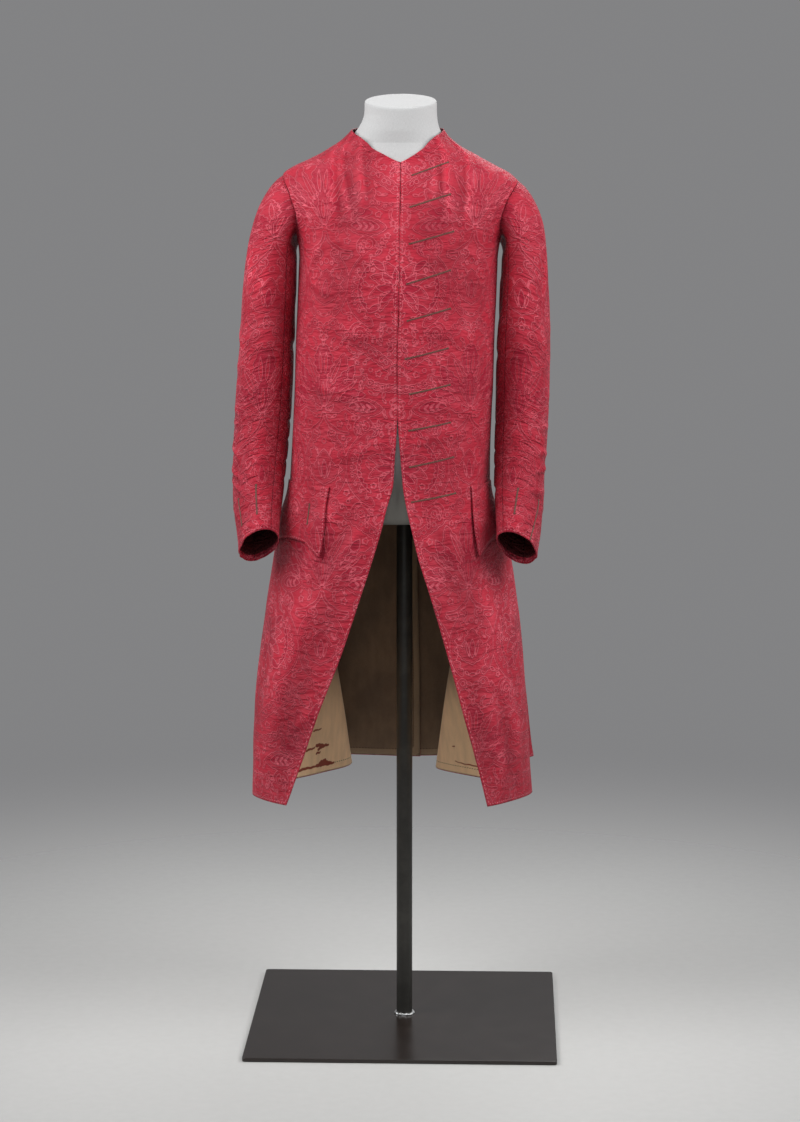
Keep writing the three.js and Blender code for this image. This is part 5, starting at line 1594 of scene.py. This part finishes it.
# %% Build the sleeves
SLEEVE_CREASE_GAIN = 3.5
OUTSIDE_SHARE, OUTSIDE_WIDTH = 0.12, 32  # creases fade along the arm's outer line, over 32 mm
SLEEVE_RIPPLES = ((1.6, 34, 90, 0), (0.5, 15, 30, 1))
ELBOW_CRINKLES, ELBOW_Z, ELBOW_FADE = ((0.35, 10, 9, 20),), 1000, 120
CUFF_WAVES = ((22, (2.6, 19, 300, 2)), (9, (1.5, 7, 300, 30)))  # each with how far it reaches up
SLEEVE_SEAM_FADE = 14  # millimetres from a seam, and rows from the armhole
SLEEVE_CRUMPLED, ELBOW_CRUMPLED, CRUMPLED_Z, CRUMPLED_FADE = 0.75, 0.8, 1060, 160
PATTERN_FROM = (40, 150)  # millimetres: where in the pattern a sleeve is cut, across and up
sleeves = {}
for side in SIGN:
    for piece in SLEEVE_PIECES:
        points, place = sleeve_grid(side, piece)
        middle_z = points[len(points) // 2, 0, 2]
        centre = [float(smooth_value(SLEEVE[side], "z", middle_z, key)) for key in "xy"]
        axis_at = np.array([*centre, middle_z])
        normals = grid_normals(points, axis_at)
        cloth = cloth_coordinates(points, np.zeros(len(points)))
        outer_line = np.argmin(np.abs(place - RING_STEPS)) if piece == "upper" else 0
        cloth[..., 0] -= cloth[:, outer_line : outer_line + 1, 0]
        cloth[..., 1] = cloth[-1:, :, 1] - cloth[..., 1]
        across, z = cloth[..., 0], points[..., 2]
        seed = 90 + 4 * (side == "left") + 2 * (piece == "under")
        folded = OUTSIDE_SHARE + (1 - OUTSIDE_SHARE) * smooth_step(np.abs(across) / OUTSIDE_WIDTH)
        relief = SLEEVE_CREASE_GAIN * folded * crease_relief(across, z, SLEEVE_CREASES[piece, side])
        relief += rippled(across, z, seed, SLEEVE_RIPPLES)
        relief += smooth_step((ELBOW_Z - z) / ELBOW_FADE) * rippled(across, z, seed, ELBOW_CRINKLES)
        for reach, wave in CUFF_WAVES:
            relief += np.exp(-cloth[..., 1] / reach) * rippled(across, z, seed, (wave,))
        from_seam = np.minimum(across - across[:, :1], across[:, -1:] - across)
        from_armhole = np.arange(len(points))[:, None]
        sewn = smooth_step(from_seam / SLEEVE_SEAM_FADE) * smooth_step(from_armhole / SLEEVE_SEAM_FADE)
        highest = HIGHEST if piece == "upper" else BESIDE_ARM
        relief = held_between(relief, np.full(relief.shape, SLEEVE_DEEPEST), highest) * sewn
        points = points + relief[..., None] * normals
        normals = grid_normals(points, axis_at)
        fields = woven_fields(across + PATTERN_FROM[0], cloth[..., 1] + PATTERN_FROM[1])
        fields["seam_mm"] = from_seam
        fields["edge_mm"] = np.minimum(cloth[..., 1], FREE)
        fields["crumpled"] = SLEEVE_CRUMPLED + ELBOW_CRUMPLED * smooth_step((CRUMPLED_Z - z) / CRUMPLED_FADE)
        # Painted light and shade on the folds: ridges paler, troughs darker.
        fields["rubbed"] = painted_crease_light(relief)
        name = f"damask_sleeve_{piece}_{side}"
        made = closed_sheet(name, points, normals, SILK_WALL, silk, cloth, fields)
        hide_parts(f"sleeve_{piece}_{side}")
        sleeves[piece, side] = {"points": points, "normals": normals, "cloth": cloth, "object": made}
        print(made.name, points.shape, round(report_area(points), 3), "m2", len(made.data.polygons), "faces")

# %% [markdown]
# ## The dress form
#
# The form is a padded body with no arms, covered in white knitted jersey. Its neck shows, with a
# little of the chest inside the neckline and a strip low down between the fronts. Its rings are
# the torso's own sections moved inwards, then the neck's sections from a table, then a cap with
# a rounded edge. It could be sculpted, but the torso's own sections keep it just inside the silk.

# %% Build the form
NECK_RINGS = table(
    "z mid right left front back",
    (1384, -6, 86, 77, 52, 63), (1394, -7, 74, 68, 53, 60), (1405, -7, 65, 61, 54, 57),
    (1418, -6.5, 58, 57, 54, 55), (1430, -6, 55.5, 55.5, 54, 54), (1448, -6, 55, 55, 54, 54),
)
ARM_ZONE = (1215, 1245, 1343, 1375)  # heights where the form's sides begin and end to be drawn in
ARM_INSET = 17  # millimetres that they are drawn in, so that the sleeves' heads clear them
SOCKET_RADIUS, SOCKET_TOP_Z, FORM_LOW_Z, FORM_TOP_Z = 12.8, 849, 809, 1448
TOP_SLOPE, SLOPE_FROM_Z = 0.2, 1420  # the neck's top rises 0.2 mm each millimetre towards the back
TORSO_TOP_Z, NECK_LOW_Z, NECK_RADIUS = 1371, 1384, 55
FORM_RINGS, NECK_RING_COUNT = 76, 30
UNDERSIDE_SHARES = (0.3, 0.5, 0.7, 0.9, 0.97)  # rings from the socket out to the form's side
# The rounded top edge and its flat cap: millimetres in from the neck's side, and below the top
CAP_PROFILE = ((0.1, 2.2), (0.5, 1.0), (1.2, 0.35), (2.4, 0.05), (8, 0), (20, 0), (36, 0))
HALF_TURN = 72  # cells in half a ring
CELL_WIDTH = 5.0  # millimetres of jersey that each cell of a ring stands for


def closed_rings(name, rings, material, uv=None):
    """A closed body from rings of points: quads between rings, and a fan at each end."""
    count, around = rings.shape[:2]
    numbers = np.arange(count * around).reshape(count, around)
    beside = np.roll(numbers, -1, axis=1)
    walls = np.stack([numbers[:-1], beside[:-1], beside[1:], numbers[1:]], axis=-1).reshape(-1, 4)
    poles = np.stack([rings[0].mean(0), rings[-1].mean(0)])
    fans = []
    for ring, pole in ((0, numbers.size), (-1, numbers.size + 1)):
        centre = np.full(around, pole)
        fans.append(np.stack([numbers[ring], beside[ring], centre, centre], axis=-1))
    points = np.concatenate([rings.reshape(-1, 3), poles])
    if uv is not None:
        uv = np.concatenate([uv.reshape(-1, 2), uv[0].mean(0)[None], uv[-1].mean(0)[None]])
    return build_mesh(name, points, np.concatenate([walls, *fans]), material, uv)


def both_halves(section):
    """A ring of both sides from one function of side and degrees: right from front to back,
    then left from back to front."""
    degrees = np.linspace(0, 180, HALF_TURN + 1)[:-1]
    return np.concatenate([section("right", degrees), section("left", 180 - degrees)])


def form_section(z):
    """A torso ring moved in along its normals, and in again where the arms would be."""
    rise = lambda low, high: float(smooth_step((z - low) / (high - low)))
    zone = rise(*ARM_ZONE[:2]) * (1 - rise(*ARM_ZONE[2:]))

    def section(side, degrees):
        level = np.full(degrees.shape, float(z))
        point = torso_point(side, degrees, level, parted=False)
        around = torso_point(side, degrees + SMALL_TURN, level, False)
        around = around - torso_point(side, degrees - SMALL_TURN, level, False)
        around[..., 2] = 0
        outward = SIGN[side] * unit(np.stack([around[..., 1], -around[..., 0], 0 * level], axis=-1))
        point = point - float(smooth_value(FORM_INSET, "z", z, "inset")) * outward
        point[..., 0] -= SIGN[side] * ARM_INSET * zone * np.sin(np.radians(degrees))
        return point

    return both_halves(section)


def neck_section(z):
    """A neck ring: half an ellipse on each side, its forward and back halves of their own."""
    value = lambda name: float(smooth_value(NECK_RINGS, "z", z, name))

    def section(side, degrees):
        sine, cosine = np.sin(np.radians(degrees)), np.cos(np.radians(degrees))
        deep = np.where(cosine > 0, -value("front") * cosine, -value("back") * cosine)
        across = value("mid") + SIGN[side] * value(side) * sine
        return np.stack([across, deep, z + 0 * sine], axis=-1)

    return both_halves(section)


def shrunk(ring, share, z):
    """A ring drawn in towards its own middle and moved to a height."""
    made = ring.mean(0) + (ring - ring.mean(0)) * share
    made[:, 2] = z
    return made


bottom, top = form_section(FORM_LOW_Z), neck_section(FORM_TOP_Z)
turn = np.linspace(0, 2 * np.pi, 2 * HALF_TURN, endpoint=False)
socket = np.stack([-SOCKET_RADIUS * np.sin(turn), -SOCKET_RADIUS * np.cos(turn), 0 * turn], axis=-1)
rings = [socket + [0, 0, SOCKET_TOP_Z], socket + [0, 0, FORM_LOW_Z]]
rings += [shrunk(bottom, share, FORM_LOW_Z) for share in UNDERSIDE_SHARES]
rings += [form_section(z) for z in np.linspace(FORM_LOW_Z + 2, TORSO_TOP_Z, FORM_RINGS)]
rings += [neck_section(z) for z in np.linspace(NECK_LOW_Z, FORM_TOP_Z - 5, NECK_RING_COUNT)]
rings += [shrunk(top, 1 - inset / NECK_RADIUS, FORM_TOP_Z - drop) for inset, drop in CAP_PROFILE]
rings = np.array(rings)
sloped = smooth_step((rings[..., 2] - SLOPE_FROM_Z) / (FORM_TOP_Z - SLOPE_FROM_Z))
rings[..., 2] += TOP_SLOPE * rings[..., 1] * sloped
form_uv = np.stack([np.cumsum(np.full(rings.shape[:2], CELL_WIDTH), axis=1), rings[..., 2]], axis=-1)
form = closed_rings("jersey_form", rings, jersey, form_uv)
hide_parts("form_torso")
print(form.name, rings.shape, "rings")

# %% [markdown]
# ## Post and base plate
#
# The stand is a blackened 25 mm steel tube welded upright on a square steel plate with a waxed
# brown patina. The weld is left bare, so a bright uneven bead shows at the tube's foot. The
# plate's edges are only broken with a file. A cylinder and a bevelled cube would do as well, but
# as rings of points the post and the plate share one function with the form.

# %% Build the post, the weld and the plate
POST_RADIUS, POST_LOW_Z, POST_TOP_Z = 12.5, 6.3, 848.7
PLATE_HALF, PLATE_THICKNESS, PLATE_CORNER, BROKEN_EDGE = 240, 6, 5, 0.7
WELD_CELLS = (180, 12)  # round the post, and round the bead's own section
WELD_BEAD, WELD_OUT, WELD_UP = 2.3, 0.9, 0.8  # millimetres: radius, and where its middle lies
WELD_DABS = 26  # small swells round the post, one for each dab of the welder's rod


def circle(radius, z, count=64):
    """A level ring of points round the post's axis."""
    around = np.linspace(0, 2 * np.pi, count, endpoint=False)
    return np.stack([radius * np.cos(around), radius * np.sin(around), z + 0 * around], axis=-1)


post_rings = np.array([
    circle(POST_RADIUS - 0.6, POST_LOW_Z), circle(POST_RADIUS - 0.15, POST_LOW_Z + 0.15),
    circle(POST_RADIUS, POST_LOW_Z + 0.6),
    *[circle(POST_RADIUS, z) for z in np.linspace(10, POST_TOP_Z - 4, 24)],
    circle(POST_RADIUS, POST_TOP_Z - 0.6), circle(POST_RADIUS - 0.15, POST_TOP_Z - 0.15),
    circle(POST_RADIUS - 0.6, POST_TOP_Z),
])
post = closed_rings("steel_post", post_rings, blackened)
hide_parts("stand_post")

around, section = np.meshgrid(*(np.linspace(0, 2 * np.pi, n, endpoint=False) for n in WELD_CELLS))
dabs = 0.2 * np.abs(np.sin(WELD_DABS / 2 * around))
bead = WELD_BEAD * (1 + dabs + 0.45 * soft_noise(around * 4, section * 0.6, 61))
out = POST_RADIUS + WELD_OUT + bead * np.cos(section)
up = PLATE_THICKNESS + WELD_UP + bead * np.sin(section)
weld_points = np.stack([out * np.cos(around), out * np.sin(around), up], axis=-1)
numbers = np.arange(around.size).reshape(around.shape)
corners = [numbers, np.roll(numbers, -1, 1), np.roll(np.roll(numbers, -1, 1), -1, 0), np.roll(numbers, -1, 0)]
weld_faces = np.stack(corners, axis=-1).reshape(-1, 4)
build_mesh("weld_bead", weld_points.reshape(-1, 3), weld_faces, bare_weld)


def plate_ring(inset, z):
    """A square with rounded corners, drawn in by the inset."""
    radius = max(PLATE_CORNER - inset, 0.5)
    reach = PLATE_HALF - inset - radius
    quarter = np.linspace(0, np.pi / 2, 9)
    made = []
    for way_x, way_y, start in ((1, 1, 0), (-1, 1, np.pi / 2), (-1, -1, np.pi), (1, -1, 1.5 * np.pi)):
        x = way_x * reach + radius * np.cos(quarter + start)
        y = way_y * reach + radius * np.sin(quarter + start)
        made.append(np.stack([x, y, np.full(x.shape, float(z))], axis=-1))
    return np.concatenate(made)


profile = [(60, 0), (2, 0), (BROKEN_EDGE, 0), (BROKEN_EDGE * 0.3, BROKEN_EDGE * 0.3), (0, BROKEN_EDGE)]
profile += [(inset, PLATE_THICKNESS - z) for inset, z in profile[::-1]]
plate_rings = np.array([plate_ring(*step) for step in profile])
plate = closed_rings("steel_plate", plate_rings, patinated)
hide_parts("base_plate")
print("post", post_rings.shape, "plate", plate_rings.shape)

# %% [markdown]
# ## Worked buttonholes
#
# Each buttonhole is a slit closed round with blanket stitches of silk twist, with a short bar at
# each end. Here it is a low pad on the cloth. Its outline swells at every stitch and a groove
# runs along the slit. A bump could show that too, but close up the raised rim and the shadow in
# the groove would be missing. Each pad is a grid of its own, and all are joined into one object.

# %% Build the buttonholes
STITCH_PITCH = 1.25  # millimetres from stitch to stitch
# Places across a pad in half widths, and its height at each
PAD_SECTION = np.array([-1, -0.92, -0.6, -0.16, 0, 0.16, 0.6, 0.92, 1])
PAD_HEIGHT = np.array([-0.5, 0.35, 0.85, 0.75, 0.15, 0.75, 0.85, 0.35, -0.5])


def pad_on(surface, normals, width, height):
    """A stitched pad along a line of surface points: across it the height follows PAD_HEIGHT,
    along it both swell as a sine at each stitch and end in a bar."""
    way = unit(np.gradient(surface, axis=0))
    side = unit(np.cross(normals, way))
    length = np.concatenate([[0], np.cumsum(np.linalg.norm(np.diff(surface, axis=0), axis=1))])
    swell = 1 + 0.16 * np.sin(2 * np.pi * length / STITCH_PITCH)
    from_end = np.minimum(length, length[-1] - length)
    bar = 1 + 0.35 * np.exp(-((from_end - 1.2) / 1.0) ** 2)
    closing = np.sqrt(np.clip(from_end / 0.8, 0.02, 1))
    half = width / 2 * swell * bar * closing
    tall = height * (0.85 + 0.15 * np.sin(2 * np.pi * length / STITCH_PITCH)) * bar
    points = (surface[:, None] + side[:, None] * (PAD_SECTION[None, :, None] * half[:, None, None])
              + normals[:, None] * (PAD_HEIGHT[None, :, None] * tall[:, None, None]))
    uv = np.stack([np.broadcast_to(PAD_SECTION * width / 2, points.shape[:2]),
                   np.broadcast_to(length[:, None], points.shape[:2])], axis=-1)
    return points, uv


def join_pads(name, pads):
    """One object from many grids of points, each closed below by a row of quads."""
    points, faces, places, start = [], [], [], 0
    for grid, uv in pads:
        rows, columns = grid.shape[:2]
        numbers = start + np.arange(rows * columns).reshape(rows, columns)
        faces.append(grid_quads(rows, columns, start))
        below = np.stack([numbers[:-1, 0], numbers[:-1, -1], numbers[1:, -1], numbers[1:, 0]], axis=-1)
        faces.append(below)
        for end in (numbers[0], numbers[-1]):
            faces.append(np.stack([np.full(columns - 2, end[0]), end[1:-1], end[2:], end[2:]], axis=-1))
        points.append(grid.reshape(-1, 3))
        places.append(uv.reshape(-1, 2))
        start += rows * columns
    points, faces, places = map(np.concatenate, (points, faces, places))
    return build_mesh(name, points, faces, thread, places)


# %% Buttonholes of the left front, the cuffs and the right flap
HOLE_COLUMNS = "across z across_end z_end"
FRONT_HOLES = table(
    HOLE_COLUMNS,
    (16.9, 1336.3, 75.1, 1356.3), (14.4, 1289.3, 76.5, 1308.9), (13.6, 1234.7, 83.4, 1253.5),
    (10.8, 1174.8, 79.7, 1195.6), (13.2, 1119.6, 81.7, 1138), (10.7, 1062, 79, 1078.1),
    (17.5, 1009, 82.1, 1022.8), (16.4, 953.8, 83.4, 965.3), (17.3, 898.5, 89.4, 912.3),
    (19.9, 845.5, 92.3, 857.1),
)
CUFF_HOLES = {
    "right": table(HOLE_COLUMNS, (34, 843, 35, 803), (69, 866, 65, 822)),
    "left": table(HOLE_COLUMNS, (68, 862, 71, 824), (27, 842, 41, 786)),
}
FLAP_HOLE = table(HOLE_COLUMNS, (143.2, 838.6, 147, 806))
HOLE_WIDTH, HOLE_HEIGHT, HOLE_LIFT = 2.6, 0.9, 0.1  # millimetres


def pads_on(sheet, holes):
    """A pad for each row of a table of holes, on a straight line of the cloth."""
    pads = []
    for x0, z0, x1, z1 in zip(*holes.values()):
        t = np.linspace(0, 1, int(3 * math.hypot(x1 - x0, z1 - z0) / STITCH_PITCH))
        row, column = locate(sheet, x0 + (x1 - x0) * t, z0 + (z1 - z0) * t)
        surface, normals = (grid_at(sheet[key], row, column) for key in ("points", "normals"))
        normals = unit(normals)
        pads.append(pad_on(surface + HOLE_LIFT * normals, normals, HOLE_WIDTH, HOLE_HEIGHT))
    return pads


pads = pads_on(panels["front", "left"], FRONT_HOLES) + pads_on(flaps["right"], FLAP_HOLE)
for side in SIGN:
    pads += pads_on(sleeves["upper", side], CUFF_HOLES[side])
buttonholes = join_pads("worked_buttonholes", pads)
print(len(pads), "buttonholes", len(buttonholes.data.polygons), "faces")

# %% [markdown]
# ## Floor, light and background
#
# The coat stands in a studio. Two large softboxes light it from the sides, a weak one fills the
# front, a small one brightens the floor towards the viewer and one behind picks out the edges.
# The floor is matt painted, and far from the object it fades into the grey of the background, so
# that no horizon shows. One big plane would do, but a grid keeps its triangles small.

# %% Floor and lights
FLOOR_HALF, FLOOR_POINTS, FLOOR_Z = 7, 15, -0.0004  # metres, and points along a side
FLOOR_GREY = ("#BEBEBC", "#C6C6C4")
FLOOR_GONE, FLOOR_FULL = 2.1, 0.1  # metres from the middle
WORLD_GREY = (0.225, 0.225, 0.23, 1)
floor_material, tree = new_material("studio floor, matt paint")
place = add(tree, "ShaderNodeTexCoord").outputs["Object"]
level = add(tree, "ShaderNodeVectorMath", {0: place, 1: (1.0, 1.0, 0.0)}, operation="MULTIPLY")
reach = add(tree, "ShaderNodeVectorMath", {0: level.outputs["Vector"]}, operation="LENGTH")
fade = soft_mask(tree, reach.outputs["Value"], FLOOR_GONE, FLOOR_FULL)
grey = blend_colour(tree, noise(tree, place, 60.0, 4.0), *map(linear, FLOOR_GREY))
paint = add(tree, "ShaderNodeBsdfPrincipled", {"Base Color": grey, "Roughness": 0.75})
clear = add(tree, "ShaderNodeBsdfTransparent")
mixed = add(tree, "ShaderNodeMixShader", {0: fade, 1: paint.outputs["BSDF"], 2: clear.outputs["BSDF"]})
add(tree, "ShaderNodeOutputMaterial", {"Surface": mixed.outputs["Shader"]})

side_m = np.linspace(-FLOOR_HALF, FLOOR_HALF, FLOOR_POINTS)
floor_x, floor_y = np.meshgrid(side_m, side_m)
floor_mesh = bpy.data.meshes.new("floor")
floor_mesh.from_pydata(
    np.stack([floor_x, floor_y, 0 * floor_x + FLOOR_Z], axis=-1).reshape(-1, 3).tolist(), [],
    grid_quads(FLOOR_POINTS, FLOOR_POINTS).tolist())
floor_mesh.materials.append(floor_material)
floor = bpy.data.objects.new("floor", floor_mesh)
bpy.context.collection.objects.link(floor)

world = bpy.data.worlds.new("studio")
world.use_nodes = True
world.node_tree.nodes["Background"].inputs["Color"].default_value = WORLD_GREY
world.node_tree.nodes["Background"].inputs["Strength"].default_value = 1.0
bpy.context.scene.world = world


def soft_light(name, place, target, size, watts):
    """A square area light that faces a point."""
    data = bpy.data.lights.new(name, "AREA")
    data.shape, data.size, data.energy = "SQUARE", size, watts
    made = bpy.data.objects.new(name, data)
    made.location = place
    way = np.array(target, float) - np.array(place, float)
    made.rotation_euler = (
        math.atan2(math.hypot(way[0], way[1]), -way[2]), 0, math.atan2(way[0], -way[1]) + math.pi)
    bpy.context.collection.objects.link(made)
    return made


lights = [
    soft_light("left softbox", (-2.2, -1.1, 2.6), (0, 0, 1.2), 1.9, 84),
    soft_light("right softbox", (2.2, -1.0, 2.5), (0, 0, 1.2), 1.9, 74),
    soft_light("front fill", (0, -3.6, 3.0), (0, 0, 1.2), 2.0, 12),
    soft_light("floor light", (0, -2.9, 2.2), (0, -2.1, 0), 1.2, 9),
    soft_light("rear softbox", (0.6, 3.2, 3.2), (0, 0, 0.9), 1.8, 36),
]
bpy.context.scene.view_settings.view_transform = "Standard"
print("lights", [light.name for light in lights])

# %% [markdown]
# ## What is cloth
#
# Every sheet is declared with the size of the rectangle it is cut from and its own area. The
# rectangle comes from lengths measured before the small creases, since hanging bends cloth but
# doesn't stretch it. They run along the sheet itself, or for a flap or a lining along the silk
# that it lies on. The area is that of the finished grid on the side that shows.


for side in SIGN:
    for part in ("front", "back"):
        panel = panels[part, side]
